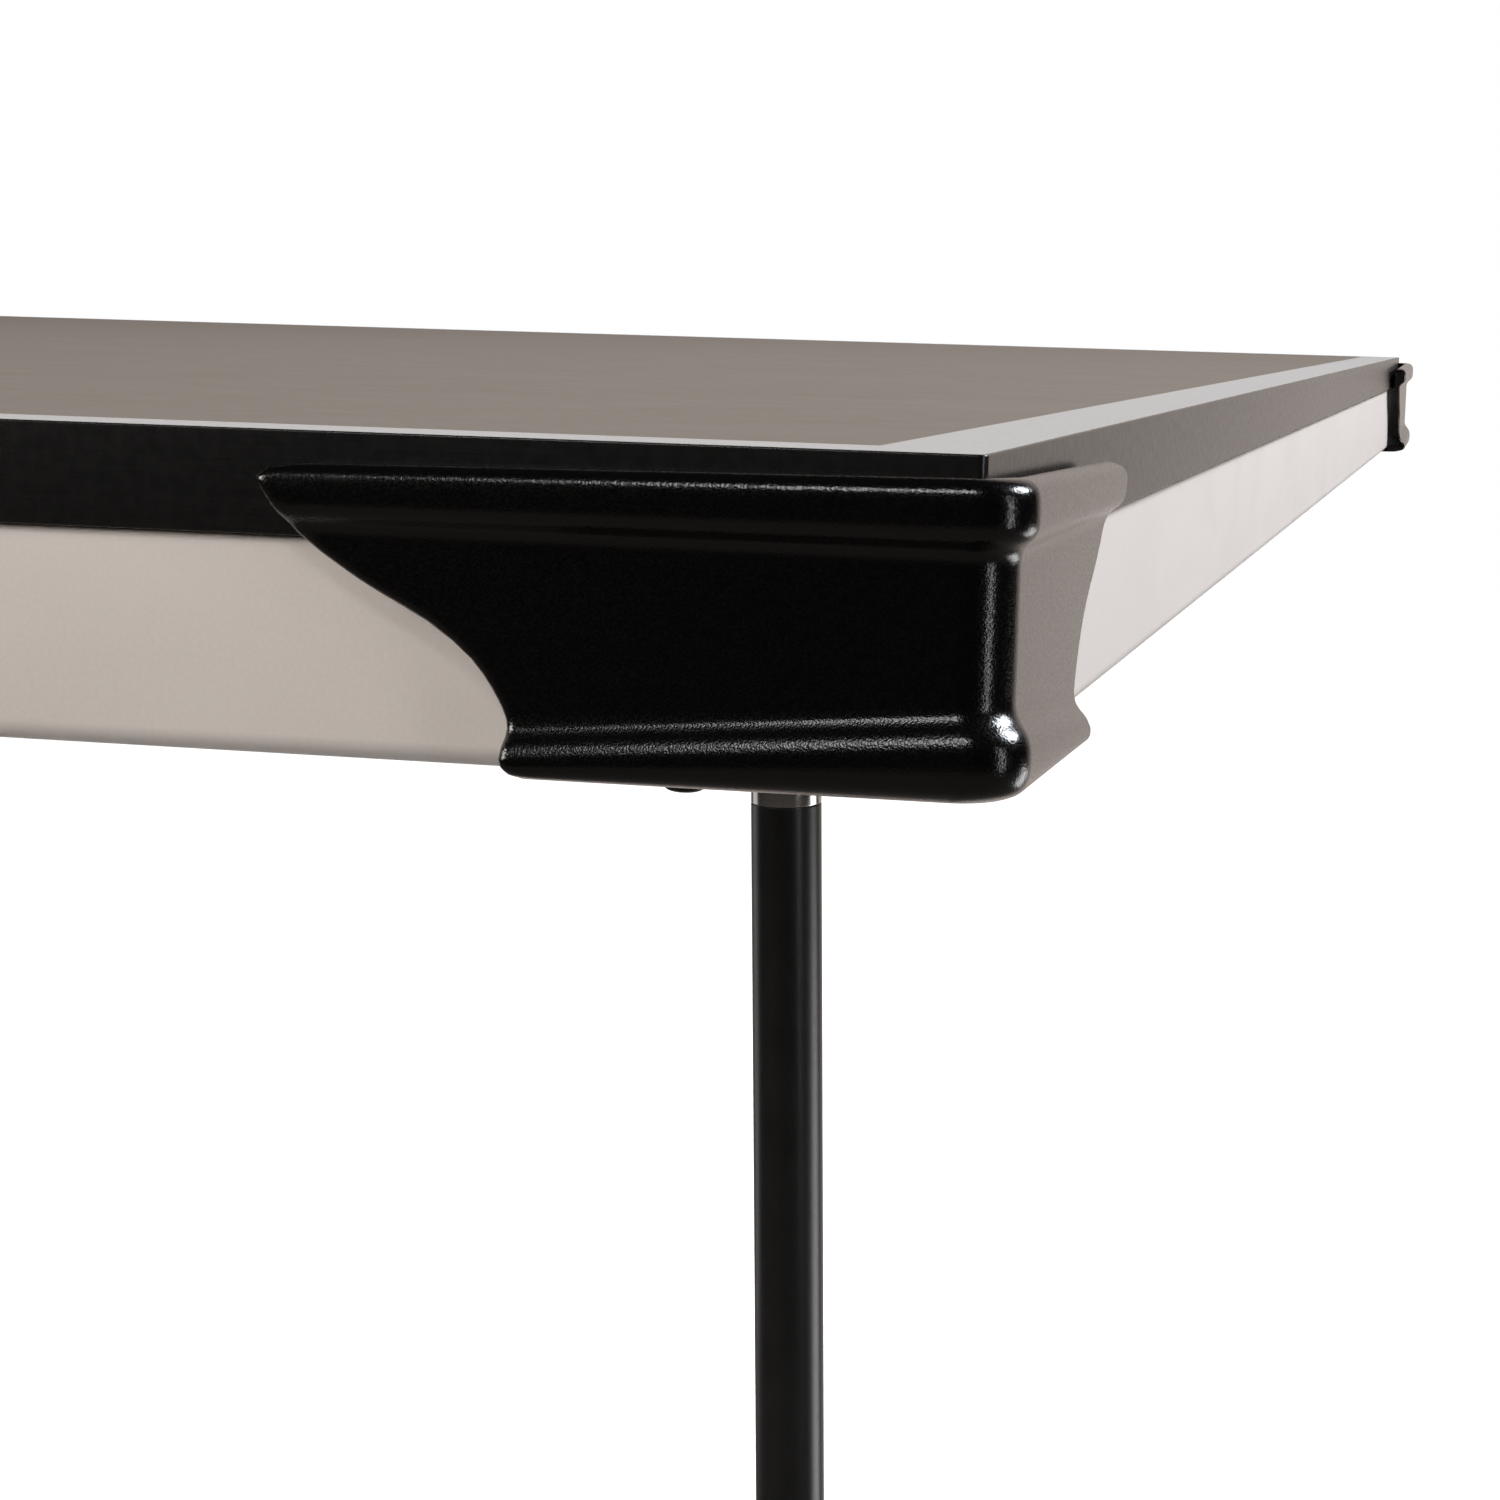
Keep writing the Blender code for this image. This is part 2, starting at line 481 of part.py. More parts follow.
def build_hinges():
    pin_frame = Matrix.Translation((0, HINGE_Y, HINGE_Z)) @ ALONG_X
    under = TOP_Z - BOARD_T - GAP
    for side, sx in (("left", -1), ("right", 1)):
        x0, x1 = sx * HINGE_X - HINGE_W / 2, sx * HINGE_X + HINGE_W / 2
        third = HINGE_W / 3
        bore = PIN_R + PIN_CLEARANCE

        upper = add_box(bmesh.new(), (x0, HINGE_Y - 0.030, under - 0.002), (x1, HINGE_Y + 0.001, under))
        upper = add_part(f"hinge_leaf_top_{side}", upper, "steel", (sx * HINGE_X, HINGE_Y, HINGE_Z))
        knuckles = bmesh.new()
        for a, b in ((x0, x0 + third - 0.0004), (x1 - third + 0.0004, x1)):
            add_cylinder(knuckles, KNUCKLE_R, a, b, pin_frame, 32)
        combine(upper, knuckles, "UNION")
        relief = add_box(bmesh.new(), (x0 + third - 0.0004, HINGE_Y - 0.0075, HINGE_Z - 0.01),
                         (x1 - third + 0.0004, HINGE_Y + 0.01, HINGE_Z + 0.01))
        combine(upper, relief, "DIFFERENCE")
        combine(upper, add_cylinder(bmesh.new(), bore, x0 - 0.01, x1 + 0.01, pin_frame, 32), "DIFFERENCE")

        face = LEG_Y["front"] - RAIL_W / 2 - GAP
        lower = add_box(bmesh.new(), (x0 + third + 0.0004, face - 0.0025, TOP_Z - 0.066),
                        (x1 - third - 0.0004, face, HINGE_Z + 0.001))
        lower = add_part(f"hinge_leaf_base_{side}", lower, "steel", (sx * HINGE_X, HINGE_Y, HINGE_Z))
        combine(lower, add_cylinder(bmesh.new(), KNUCKLE_R, x0 + third + 0.0004, x1 - third - 0.0004,
                                    pin_frame, 32), "UNION")
        combine(lower, add_cylinder(bmesh.new(), bore, x0 - 0.01, x1 + 0.01, pin_frame, 32), "DIFFERENCE")
        pin = [(0.0, x0 - 0.0025), (0.0032, x0 - 0.0025), (0.0040, x0 - 0.0015), (0.0040, x0 - 0.0004),
               (PIN_R, x0 - 0.0004), (PIN_R, x1 + 0.001), (0.0, x1 + 0.001)]
        add_part(f"hinge_pin_{side}", add_revolve(bmesh.new(), pin, pin_frame, 32), "steel",
                 (sx * HINGE_X, HINGE_Y, HINGE_Z))


def arc_band(r_in, r_out, low_deg, high_deg, steps, round_ends):
    """Outline of a curved band about the hinge axis as (y, z), angles from +Y; optional round ends."""
    def at(radius, angle):
        return (HINGE_Y + radius * math.cos(angle), HINGE_Z + radius * math.sin(angle))
    low, high = math.radians(low_deg), math.radians(high_deg)
    angles = [low + (high - low) * k / steps for k in range(steps + 1)]
    outline = [at(r_in, a) for a in reversed(angles)] + [at(r_out, a) for a in angles]
    if round_ends:
        mid, half = (r_in + r_out) / 2, (r_out - r_in) / 2
        start, end = [], []
        for k in range(1, 8):
            turn = math.pi * k / 8
            for bulge, angle, sign in ((start, low, -1), (end, high, 1)):
                cy, cz = at(mid, angle)
                radial = (math.cos(angle), math.sin(angle))
                around = (-math.sin(angle) * sign, math.cos(angle) * sign)
                spread = half * math.cos(turn) * (-1 if sign < 0 else 1)
                lift = half * math.sin(turn)
                bulge.append((cy + radial[0] * spread + around[0] * lift,
                              cz + radial[1] * spread + around[1] * lift))
        count = len(angles)
        outline = outline[:count] + start + outline[count:] + end
    return outline


def build_tilt_clamps():
    rest = math.degrees(math.atan2(BOLT_Z - HINGE_Z, bolt_y() - HINGE_Y))
    under = TOP_Z - BOARD_T - GAP
    y_bolt = bolt_y()
    for side, sx in (("left", -1), ("right", 1)):
        x_mid = sx * QUADRANT_X
        xa, xb = x_mid - QUADRANT_T / 2, x_mid + QUADRANT_T / 2
        band = arc_band(QUADRANT_R - QUADRANT_HALF, QUADRANT_R + QUADRANT_HALF,
                        rest - TILT_MAX - 3.5, rest, 28, False)
        part = add_part(f"quadrant_{side}", add_prism(bmesh.new(), band, xa, xb, ALONG_X), "steel",
                        (x_mid, HINGE_Y, HINGE_Z))
        web = bmesh.new()
        add_box(web, (xa, y_bolt - 0.026, BOLT_Z - 0.004), (xb, y_bolt + 0.026, under))
        combine(part, web, "UNION")
        inner = xa if sx > 0 else xb
        flange = sorted((inner, inner - sx * 0.022))
        combine(part, add_box(bmesh.new(), (flange[0], y_bolt - 0.026, under - 0.003),
                              (flange[1], y_bolt + 0.026, under)), "UNION")
        slot = arc_band(QUADRANT_R - SLOT_HALF, QUADRANT_R + SLOT_HALF, rest - TILT_MAX - 0.4, rest + 0.4, 40, True)
        combine(part, add_prism(bmesh.new(), slot, xa - 0.004, xb + 0.004, ALONG_X), "DIFFERENCE")

        head = sx * (LEG_X + RAIL_W / 2 + GAP)
        tip = sx * (QUADRANT_X - 0.0185)
        hexagon = [(0.0065 * math.cos(math.radians(60 * k)) + y_bolt, 0.0065 * math.sin(math.radians(60 * k)) + BOLT_Z)
                   for k in range(6)]
        bolt = add_prism(bmesh.new(), hexagon, *sorted((head, head + sx * 0.005)), ALONG_X)
        bolt = add_part(f"tilt_bolt_{side}", bolt, "steel", (head, y_bolt, BOLT_Z))
        shank = add_cylinder(bmesh.new(), BOLT_R, *sorted((head + sx * 0.002, tip)),
                             Matrix.Translation((0, y_bolt, BOLT_Z)) @ ALONG_X, 32)
        combine(bolt, shank, "UNION")

        start = sx * (QUADRANT_X - QUADRANT_T / 2 - 0.0006)
        frame = axes_frame((start, y_bolt, BOLT_Z), (0, 0, 1), (-sx, 0, 0))
        knob = lobed_knob(bmesh.new(), frame, 5, 0.0200, 0.0040,
                          ((0.0, 0.55, 0.0), (0.0050, 0.52, 0.0), (0.0090, 0.90, 1.0), (0.0110, 1.0, 1.0),
                           (0.0200, 1.0, 1.0), (0.0225, 0.93, 1.0), (0.0240, 0.75, 0.8)))
        part = add_part(f"tilt_knob_{side}", knob, "knob", (start, y_bolt, BOLT_Z))
        combine(part, add_cylinder(bmesh.new(), BOLT_R + 0.00005, -0.01, 0.0190, frame, 32), "DIFFERENCE")


def main():
    clear_scene()
    build_board()
    build_aprons()
    build_ledge()
    build_caps()
    build_rails()
    for row in ("front", "rear"):
        for side, sx in (("left", -1), ("right", 1)):
            build_leg(sx, side, row)
    build_hinges()
    build_tilt_clamps()


main()
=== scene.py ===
"""Looks of the drafting table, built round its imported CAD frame."""
import math

import bmesh
import bpy
from mathutils import Matrix, Vector

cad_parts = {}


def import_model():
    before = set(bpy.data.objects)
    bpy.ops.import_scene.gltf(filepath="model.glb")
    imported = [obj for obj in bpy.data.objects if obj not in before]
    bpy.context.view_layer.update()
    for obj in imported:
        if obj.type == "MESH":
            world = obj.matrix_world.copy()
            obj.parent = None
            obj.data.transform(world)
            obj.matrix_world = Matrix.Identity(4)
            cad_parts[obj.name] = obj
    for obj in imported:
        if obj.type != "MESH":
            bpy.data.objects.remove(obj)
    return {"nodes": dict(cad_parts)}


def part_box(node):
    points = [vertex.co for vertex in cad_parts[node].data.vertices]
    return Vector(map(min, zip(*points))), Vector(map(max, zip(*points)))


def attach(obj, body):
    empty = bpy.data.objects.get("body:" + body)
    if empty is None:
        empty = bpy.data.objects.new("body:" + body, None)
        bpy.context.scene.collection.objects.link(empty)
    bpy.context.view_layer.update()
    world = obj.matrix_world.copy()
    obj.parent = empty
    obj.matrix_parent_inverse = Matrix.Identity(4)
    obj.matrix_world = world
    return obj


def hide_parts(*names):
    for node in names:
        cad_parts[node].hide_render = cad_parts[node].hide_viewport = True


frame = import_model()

SCENE = bpy.context.scene
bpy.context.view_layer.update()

# -------- sizes read from the frame, in metres
BOARD_LOW, BOARD_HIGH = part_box("board")
LENGTH, DEPTH = BOARD_HIGH.x - BOARD_LOW.x, BOARD_HIGH.y - BOARD_LOW.y
TOP_Z, BOARD_T = BOARD_HIGH.z, BOARD_HIGH.z - BOARD_LOW.z
UNDERSIDE_Z = TOP_Z - BOARD_T       # under face of the board
FIT_GAP = 0.0003                    # play between pieces that are screwed together
BORDER = 0.0195                     # width of the pale line round the drawing surface
BORDER_SOFT = 0.00012               # half width of its soft inner edge
RAIL_WALL = 0.0020                  # wall of the sub-frame's tubes
WASHER_T = 0.0012                   # thickness of the washers under bolt heads
MM = 0.001


# -------- material nodes
NOISE_SPAN = (0.3, 0.7)             # most of a noise texture's values lie between these


class Nodes:
    """Short names for building one material's node tree."""

    def __init__(self, name):
        self.mat = bpy.data.materials.new(name)
        self.mat.use_nodes = True
        self.tree = self.mat.node_tree
        self.shader = self.tree.nodes["Principled BSDF"]
        self.coords = self.tree.nodes.new("ShaderNodeTexCoord").outputs["Object"]

    def link(self, value, socket):
        """Feed a socket from another socket, or with a number or a colour of three numbers."""
        if isinstance(value, bpy.types.NodeSocket):
            self.tree.links.new(value, socket)
        else:
            socket.default_value = (*value, 1.0) if isinstance(value, tuple) else value

    def set(self, **values):
        """Feed the shader's inputs, named with underscores for spaces."""
        for key, value in values.items():
            self.link(value, self.shader.inputs[key.replace("_", " ")])

    def math(self, operation, a, b=0.0):
        node = self.tree.nodes.new("ShaderNodeMath")
        node.operation = operation
        self.link(a, node.inputs[0])
        self.link(b, node.inputs[1])
        return node.outputs[0]

    def stretch(self, scale):
        """Object coordinates, scaled on each axis."""
        node = self.tree.nodes.new("ShaderNodeMapping")
        node.inputs["Scale"].default_value = scale
        self.link(self.coords, node.inputs["Vector"])
        return node.outputs["Vector"]

    def split(self):
        """X, Y and Z of the object coordinates."""
        node = self.tree.nodes.new("ShaderNodeSeparateXYZ")
        self.link(self.coords, node.inputs[0])
        return node.outputs

    def noise(self, scale, detail=3.0, rough=0.5, vector=None, distortion=0.0):
        node = self.tree.nodes.new("ShaderNodeTexNoise")
        for key, number in (("Scale", scale), ("Detail", detail), ("Roughness", rough),
                            ("Distortion", distortion)):
            node.inputs[key].default_value = number
        self.link(vector or self.coords, node.inputs["Vector"])
        return node.outputs["Fac"]

    def cells(self, scale):
        """Distance to the nearest of scattered points."""
        node = self.tree.nodes.new("ShaderNodeTexVoronoi")
        node.inputs["Scale"].default_value = scale
        self.link(self.coords, node.inputs["Vector"])
        return node.outputs["Distance"]

    def fit(self, value, low, high, new_low=0.0, new_high=1.0):
        """Map the span low to high onto another span, and hold it at the ends."""
        node = self.tree.nodes.new("ShaderNodeMapRange")
        self.link(value, node.inputs["Value"])
        for key, number in (("From Min", low), ("From Max", high), ("To Min", new_low), ("To Max", new_high)):
            node.inputs[key].default_value = number
        return node.outputs["Result"]

    def mix(self, factor, a, b):
        node = self.tree.nodes.new("ShaderNodeMix")
        node.data_type = "RGBA"
        for key, value in (("Factor", factor), ("A", a), ("B", b)):
            self.link(value, node.inputs[key])
        return node.outputs["Result"]

    def shade(self, noise, dark, light):
        """Colour that wanders between two colours with a noise."""
        return self.mix(self.fit(noise, *NOISE_SPAN), dark, light)

    def vary(self, noise, low, high):
        """Number that wanders between two numbers with a noise."""
        return self.fit(noise, *NOISE_SPAN, low, high)

    def bump(self, height, distance, strength=1.0, below=None):
        node = self.tree.nodes.new("ShaderNodeBump")
        node.inputs["Strength"].default_value = strength
        node.inputs["Distance"].default_value = distance
        self.link(height, node.inputs["Height"])
        if below is not None:
            self.link(below, node.inputs["Normal"])
        return node.outputs["Normal"]


def border_mask(n):
    """1 on the pale border line of the drawing surface, 0 inside it."""
    x, y, _ = n.split()
    over_x = n.math("SUBTRACT", n.math("ABSOLUTE", x), LENGTH / 2 - BORDER)
    over_y = n.math("SUBTRACT", n.math("ABSOLUTE", y), DEPTH / 2 - BORDER)
    return n.fit(n.math("MAXIMUM", over_x, over_y), -BORDER_SOFT, BORDER_SOFT)


def drawing_surface(n):
    """Satin taupe laminate with a pale border line."""
    pale = border_mask(n)
    cloud = n.noise(9.0, 4.0, 0.6)
    fleck = n.noise(900.0, 2.0, 0.6)
    ground = n.shade(cloud, (0.166, 0.137, 0.114), (0.177, 0.147, 0.124))
    ground = n.mix(n.fit(fleck, 0.35, 0.65, 0.0, 0.35), ground, (0.245, 0.212, 0.190))
    line = n.shade(fleck, (0.40, 0.38, 0.37), (0.46, 0.44, 0.43))
    peel = n.bump(n.noise(1500.0, 2.0, 0.5), 0.00012, 0.35)
    rough = n.vary(n.noise(60.0, 3.0, 0.6), 0.56, 0.62)
    n.set(Base_Color=n.mix(pale, ground, line), Roughness=rough, Normal=peel, IOR=1.45, Specular_IOR_Level=0.15)


def edge_band(n):
    """Black plastic edging, faintly streaked along its length."""
    streak = n.noise(1.0, 3.0, 0.6, n.stretch((40.0, 40.0, 2500.0)))
    n.set(Base_Color=n.shade(streak, (0.0060, 0.0058, 0.0058), (0.0095, 0.0090, 0.0090)),
          Roughness=n.vary(n.noise(400.0, 2.0), 0.24, 0.30),
          Normal=n.bump(n.noise(1800.0, 2.0), 0.00004, 0.12), IOR=1.5)


def apron_laminate(n):
    """Satin light grey laminate with a fine fleck."""
    fleck = n.noise(1300.0, 2.0, 0.6)
    drift = n.noise(14.0, 4.0, 0.55, n.stretch((1.0, 1.0, 2.2)), 0.6)
    ground = n.shade(drift, (0.70, 0.640, 0.600), (0.75, 0.690, 0.650))
    n.set(Base_Color=n.mix(n.fit(fleck, 0.35, 0.65, 0.0, 0.25), ground, (0.82, 0.77, 0.74)),
          Roughness=n.vary(fleck, 0.42, 0.52),
          Normal=n.bump(n.noise(2200.0, 2.0), 0.00006, 0.3), IOR=1.45)


def grained_plastic(n):
    """Black moulded plastic with a fine pebble grain."""
    pebble = n.cells(2600.0)
    fine = n.bump(n.noise(5200.0, 2.0), 0.00005, 0.18)
    n.set(Base_Color=n.shade(n.noise(700.0, 2.0), (0.0012, 0.0011, 0.0011), (0.0020, 0.0018, 0.0018)),
          Roughness=n.fit(pebble, 0.10, 0.65, 0.08, 0.23),
          Normal=n.bump(pebble, 0.00012, 0.20, fine), IOR=1.5)


def black_gloss(n):
    """Black gloss paint with a slight wave."""
    n.set(Base_Color=n.shade(n.noise(35.0, 3.0), (0.0034, 0.0032, 0.0032), (0.0055, 0.0052, 0.0052)),
          Roughness=n.vary(n.noise(500.0, 2.0), 0.30, 0.36),
          Normal=n.bump(n.noise(120.0, 2.0), 0.0002, 0.08), IOR=1.5)


def polished_metal(n):
    """Polished metal with faint turning marks round the axis."""
    turned = n.noise(1.0, 2.0, 0.5, n.stretch((60.0, 60.0, 4000.0)))
    n.set(Base_Color=n.shade(turned, (0.42, 0.41, 0.40), (0.50, 0.49, 0.48)), Metallic=1.0,
          Roughness=n.vary(turned, 0.16, 0.24), Normal=n.bump(turned, 0.00002, 0.15))


def zinc(n):
    """Colour, roughness and fine bump of zinc plating with a soft spangle."""
    return (n.mix(n.fit(n.cells(260.0), 0.0, 0.6), (0.50, 0.50, 0.51), (0.62, 0.62, 0.61)),
            n.vary(n.noise(220.0, 3.0), 0.26, 0.40), n.bump(n.noise(1200.0), 0.00004, 0.25))


def zinc_steel(n):
    """Zinc-plated steel."""
    colour, rough, fine = zinc(n)
    n.set(Base_Color=colour, Metallic=1.0, Roughness=rough, Normal=fine)


def anodised_aluminium(n):
    """Anodised aluminium, drawn along X."""
    drawn = n.noise(1.0, 3.0, 0.6, n.stretch((12.0, 3500.0, 3500.0)))
    n.set(Base_Color=n.shade(drawn, (0.60, 0.60, 0.61), (0.72, 0.72, 0.73)), Metallic=1.0,
          Roughness=n.vary(drawn, 0.26, 0.38), Normal=n.bump(drawn, 0.00003, 0.3))


def textured_paint(n):
    """Sandy black paint on castings."""
    sand = n.noise(1100.0, 3.0, 0.6)
    n.set(Base_Color=n.shade(sand, (0.012, 0.012, 0.0125), (0.020, 0.020, 0.021)),
          Roughness=n.vary(sand, 0.42, 0.58), Normal=n.bump(sand, 0.00025, 0.5), IOR=1.5)


def moulded_knob(n):
    """Matt black moulding."""
    n.set(Base_Color=n.shade(n.noise(500.0), (0.010, 0.010, 0.010), (0.016, 0.016, 0.016)),
          Roughness=n.vary(n.noise(700.0), 0.40, 0.55), Normal=n.bump(n.cells(1800.0), 0.00012, 0.3), IOR=1.5)


def glide_rubber(n):
    """Dusty dark rubber."""
    dust = n.noise(140.0, 4.0, 0.65)
    n.set(Base_Color=n.mix(n.fit(dust, 0.35, 0.75), (0.014, 0.014, 0.014), (0.034, 0.033, 0.032)),
          Roughness=n.vary(dust, 0.70, 0.88), Normal=n.bump(n.noise(1600.0, 3.0), 0.00015, 0.4), IOR=1.5)


def black_screw(n):
    """Blackened steel."""
    n.set(Base_Color=n.shade(n.noise(900.0), (0.02, 0.02, 0.021), (0.035, 0.034, 0.034)), Metallic=0.7,
          Roughness=n.vary(n.noise(1200.0), 0.30, 0.42), Normal=n.bump(n.noise(2400.0), 0.00003, 0.3))


def backing(n):
    """Pale backing laminate under the board."""
    fleck = n.noise(700.0, 2.0, 0.6)
    n.set(Base_Color=n.mix(n.fit(fleck, 0.35, 0.65), (0.46, 0.44, 0.42), (0.54, 0.52, 0.50)),
          Roughness=n.vary(fleck, 0.50, 0.62), Normal=n.bump(n.noise(1800.0, 2.0), 0.00005, 0.25), IOR=1.45)


def satin_paint(n):
    """Satin black paint with a slight orange peel."""
    n.set(Base_Color=n.shade(n.noise(30.0, 3.0), (0.008, 0.008, 0.0085), (0.012, 0.012, 0.0125)),
          Roughness=n.vary(n.noise(300.0, 3.0), 0.30, 0.42), Normal=n.bump(n.noise(900.0, 2.0), 0.00012, 0.3),
          IOR=1.5)


def painted_shade_recess(n):
    """Painted shade: the inside of a screw recess, coloured darker than the screw to stand for the shade that
    falls in it.
    """
    n.set(Base_Color=n.mix(n.noise(2000.0), (0.002, 0.002, 0.002), (0.005, 0.005, 0.005)), Roughness=0.8)


def quadrant_steel(n):
    """Zinc-plated steel with a stamped scale along the outer edge of the arc."""
    step, tick_half, scale_r, scale_top = 5.0, 0.043, 0.2262, TOP_Z - 0.050
    hinge = centre_of("hinge_pin_left")
    _, y, z = n.split()
    dy, dz = n.math("SUBTRACT", y, hinge.y), n.math("SUBTRACT", z, hinge.z)
    radius = n.math("SQRT", n.math("ADD", n.math("MULTIPLY", dy, dy), n.math("MULTIPLY", dz, dz)))
    angle = n.math("MULTIPLY", n.math("ARCTAN2", dz, dy), 180 / math.pi / step)
    beat = n.math("ABSOLUTE", n.math("SUBTRACT", n.math("FRACT", angle), 0.5))
    on_line = n.fit(beat, 0.5 - tick_half - 0.005, 0.5 - tick_half + 0.005)
    tick = n.math("MULTIPLY", on_line, n.fit(radius, scale_r, scale_r + 0.0004))
    tick = n.math("MULTIPLY", tick, n.fit(z, scale_top, scale_top - 0.002))
    colour, rough, fine = zinc(n)
    n.set(Base_Color=n.mix(tick, colour, (0.03, 0.03, 0.03)), Metallic=1.0, Roughness=rough,
          Normal=n.bump(tick, 0.0003, -0.6, fine))


def centre_of(node):
    """Middle of a CAD node's box."""
    low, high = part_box(node)
    return (low + high) / 2


def material(finish):
    """New material, named after the function that gives it its finish."""
    n = Nodes(finish.__name__)
    finish(n)
    return n.mat


MATS = {finish.__name__: material(finish) for finish in (
    drawing_surface, edge_band, backing, apron_laminate, grained_plastic, black_gloss, satin_paint,
    polished_metal,
    zinc_steel, quadrant_steel, anodised_aluminium, textured_paint, moulded_knob, glide_rubber, black_screw,
    painted_shade_recess)}
# Looks of the CAD nodes that stay visible; the rest are replaced by pieces.
FINISH_OF = {"hinge": "zinc_steel", "quadrant": "quadrant_steel"}
for node_name, node in frame["nodes"].items():
    key = next((f for prefix, f in FINISH_OF.items() if node_name.startswith(prefix)), "black_gloss")
    node.data.materials.clear()
    node.data.materials.append(MATS[key])


# -------- mesh helpers
ALONG_X = Matrix(((0, 0, 1, 0), (1, 0, 0, 0), (0, 1, 0, 0), (0, 0, 0, 1)))      # local X, Y, Z -> +Y, +Z, +X
ALONG_Y = Matrix(((1, 0, 0, 0), (0, 0, -1, 0), (0, 1, 0, 0), (0, 0, 0, 1)))     # local X, Y, Z -> +X, +Z, -Y


def axes_frame(origin, x_axis, z_axis):
    """Frame at `origin` with local Z along z_axis and local X as near x_axis as that allows."""
    z_axis, x_axis = Vector(z_axis).normalized(), Vector(x_axis)
    x_axis = (x_axis - x_axis.dot(z_axis) * z_axis).normalized()
    turn = Matrix((x_axis, z_axis.cross(x_axis), z_axis)).transposed().to_4x4()
    return Matrix.Translation(Vector(origin)) @ turn


def smooth_line(points, steps):
    """Points of a Catmull-Rom curve through a list of 2-D points."""
    pts = [Vector(p) for p in points]
    pts = [pts[0] * 2 - pts[1]] + pts + [pts[-1] * 2 - pts[-2]]
    out = []
    for a, b, c, d in zip(pts, pts[1:], pts[2:], pts[3:]):
        for k in range(steps):
            t = k / steps
            out.append(0.5 * (2 * b + (c - a) * t + (2 * a - 5 * b + 4 * c - d) * t * t
                              + (3 * b - a - 3 * c + d) * t ** 3))
    return [tuple(p) for p in out] + [tuple(pts[-2])]


def rounded(corners, steps=5):
    """Closed outline through (x, y, radius) corners, each rounded with an arc of that radius where it fits."""
    out, count = [], len(corners)
    for i, (x, y, radius) in enumerate(corners):
        if not radius:
            out.append((x, y))
            continue
        here = Vector((x, y))
        before = Vector(corners[i - 1][:2]) - here
        after = Vector(corners[(i + 1) % count][:2]) - here
        half = before.angle(after) / 2
        reach = min(radius / math.tan(half), before.length * 0.49, after.length * 0.49)
        radius = reach * math.tan(half)
        middle = here + (before.normalized() + after.normalized()).normalized() * (radius / math.sin(half))
        first, last = here + before.normalized() * reach - middle, here + after.normalized() * reach - middle
        sweep = first.angle_signed(last)
        for k in range(steps + 1):
            turn = -sweep * k / steps
            c, s = math.cos(turn), math.sin(turn)
            out.append((middle.x + first.x * c - first.y * s, middle.y + first.x * s + first.y * c))
    return out


def spin(bm, axes, radius, turn, z):
    """New vertex at a radius, an angle and a height about the local Z of `axes`."""
    return bm.verts.new(axes @ Vector((radius * math.cos(turn), radius * math.sin(turn), z)))


def bridge(bm, rings, part=0):
    """Join each ring of vertices to the next with quads."""
    for a, b in zip(rings, rings[1:]):
        for i in range(len(a)):
            j = (i + 1) % len(a)
            bm.faces.new((a[i], a[j], b[j], b[i])).material_index = part


def edges_of(bm, ring):
    """Edges of a ring of vertices, made where they are missing."""
    return [bm.edges.get(pair) or bm.edges.new(pair) for pair in zip(ring, ring[1:] + ring[:1])]


def lathe(bm, profile, axes=None, segments=72, part=0):
    """Turn a closed (radius, height) outline about the local Z of `axes`."""
    axes = axes or Matrix()
    rings = [[spin(bm, axes, r, 2 * math.pi * k / segments, z) for r, z in profile] for k in range(segments)]
    for k, ring in enumerate(rings):
        following = rings[(k + 1) % segments]
        for i, (r, _) in enumerate(profile):
            j = (i + 1) % len(profile)
            if r < 1e-9 and profile[j][0] < 1e-9:
                continue
            bm.faces.new((ring[i], following[i], following[j], ring[j])).material_index = part
    return bm


def prism(bm, outline, low, high, axes=None, holes=(), part=0):
    """Extrude a closed outline, with any holes through it, along the local Z of `axes`."""
    axes = axes or Matrix()
    made = []
    for ring in (outline, *holes):
        ends = [[bm.verts.new(axes @ Vector((x, y, z))) for x, y in ring] for z in (low, high)]
        bridge(bm, ends, part)
        made.append(ends)
    for end in (0, 1):
        if holes:
            edges = [edge for ends in made for edge in edges_of(bm, ends[end])]
            filled = bmesh.ops.triangle_fill(bm, edges=edges, use_beauty=True)
            for face in (g for g in filled["geom"] if isinstance(g, bmesh.types.BMFace)):
                face.material_index = part
        else:
            bm.faces.new(made[0][end]).material_index = part
    return bm


def mesh_object(name, bm, materials):
    """New object in the scene from a finished bmesh."""
    mesh = bpy.data.meshes.new(name)
    bm.to_mesh(mesh)
    bm.free()
    for look in materials:
        mesh.materials.append(look)
    obj = bpy.data.objects.new(name, mesh)
    SCENE.collection.objects.link(obj)
    return obj


def piece(name, bm, body, finishes, replaces=None, sharp=38.0):
    """Turn a mesh in world metres into a finished piece that rides on a CAD body."""
    bmesh.ops.remove_doubles(bm, verts=bm.verts, dist=2e-6)
    bmesh.ops.dissolve_degenerate(bm, edges=bm.edges, dist=1e-7)
    bmesh.ops.recalc_face_normals(bm, faces=bm.faces)
    obj = mesh_object(name, bm, [MATS[key] for key in (finishes if isinstance(finishes, list) else [finishes])])
    obj.data.shade_smooth()
    obj.data.set_sharp_from_angle(angle=math.radians(sharp))
    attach(obj, body)
    if replaces:
        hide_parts(replaces)
    return obj


def soften(obj, width):
    """Round the sharp edges of a piece with modifiers."""
    obj.modifiers.new("weld", "WELD").merge_threshold = 5e-6
    bevel = obj.modifiers.new("edge", "BEVEL")
    bevel.width, bevel.segments = width, 2
    bevel.limit_method, bevel.angle_limit = "ANGLE", math.radians(35.0)
    bevel.use_clamp_overlap, bevel.harden_normals = True, False
    obj.modifiers.new("normals", "WEIGHTED_NORMAL").keep_sharp = True


